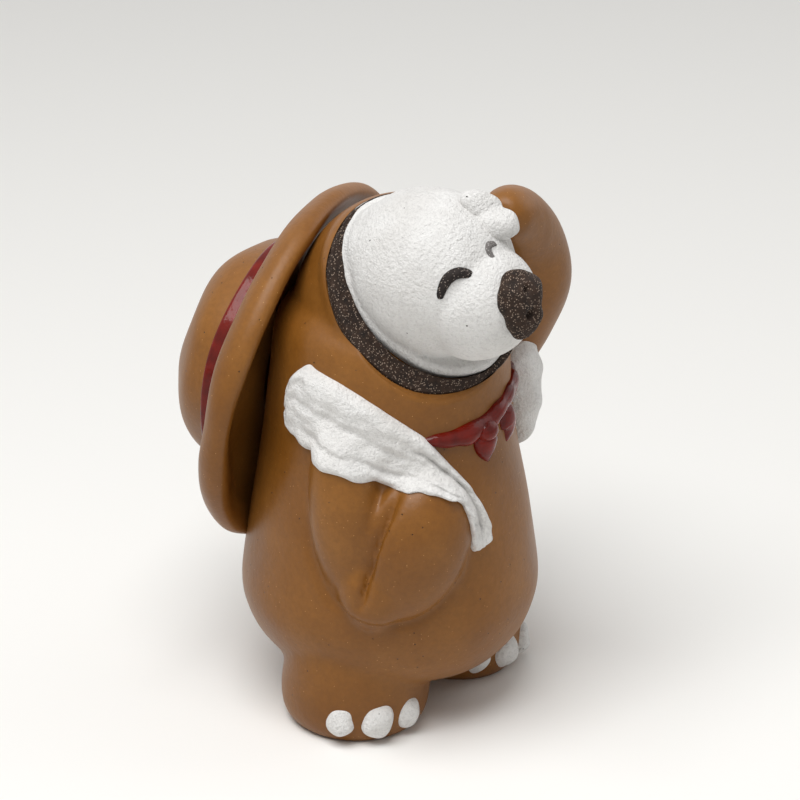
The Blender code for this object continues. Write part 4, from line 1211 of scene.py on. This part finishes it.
# Neckerchief: a rolled band of red slip clay lies on the chest from arm to arm, tied in a small knot
# with two leaf-shaped tails. Each coil has rows of azimuth, height in mm and share of its radius.

KERCHIEF_RADIUS = 1.6 * MM
KERCHIEF_FLATNESS = 0.85
KERCHIEF_KNEADING = (0.5 * MM, 3 * MM, 1.1)
KERCHIEF_ROWS = (
    (-42, 45.0, 0.30), (-31, 45.4, 0.50), (-21, 45.3, 0.80), (-10, 45.2, 1.0), (0, 45.7, 1.05),
    (10, 46.6, 1.0), (20.5, 47.2, 0.95), (32, 47.8, 0.85), (46, 48.0, 0.8), (58, 48.0, 0.7))
KNOT_AZIMUTH = -1
KNOT_HEIGHT = 45.0 * MM
KNOT_LIFT = 0.5 * MM
KNOT_RADII = mm(1.9, 1.6, 1.6)
TAIL_RADIUS = 2.0 * MM
TAIL_FLATNESS = 0.65
TAILS = {
    "right": ((0.5, 45.2, 0.55), (0, 44.2, 1.00), (-0.6, 43.1, 1.15), (-0.4, 41.6, 0.82), (0.2, 40.2, 0.15)),
    "left": ((13, 46.2, 0.55), (17, 45.3, 1.00), (20, 44.0, 1.1), (20, 42.5, 0.80), (17, 41.1, 0.15))}


def flat_coil(name, rows, radius, flatness):
    """A coil pressed against the chest: its share of the roundness is left."""
    bm = joined(coil(name, [(on_torso(azimuth, height * MM), share * radius)
                            for azimuth, height, share in rows]))
    for vertex in bm.verts:
        flat = Vector((vertex.co.x - AXIS.x, vertex.co.y - AXIS.y, 0))
        over = flat.length - torso_radius(vertex.co.z)
        vertex.co -= flat.normalized() * over * (1 - flatness)
    return bm


band = flat_coil("neckerchief_band", KERCHIEF_ROWS, KERCHIEF_RADIUS, KERCHIEF_FLATNESS)
add_piece("neckerchief_band_slip", new_mesh("neckerchief_band", kneaded(band, *KERCHIEF_KNEADING)), RED,
          "neckerchief_band", slot="red_slip")
knot_place = facing(on_torso(KNOT_AZIMUTH, KNOT_HEIGHT, KNOT_LIFT), KNOT_AZIMUTH)
add_piece("neckerchief_knot_slip", ball("neckerchief_knot", KNOT_RADII, knot_place), RED,
          "neckerchief_knot", slot="red_slip")
for side, rows in TAILS.items():
    name = "neckerchief_tail_" + side
    tail = flat_coil(name, rows, TAIL_RADIUS, TAIL_FLATNESS)
    add_piece(name + "_slip", new_mesh(name, tail), RED, name, slot="red_slip")
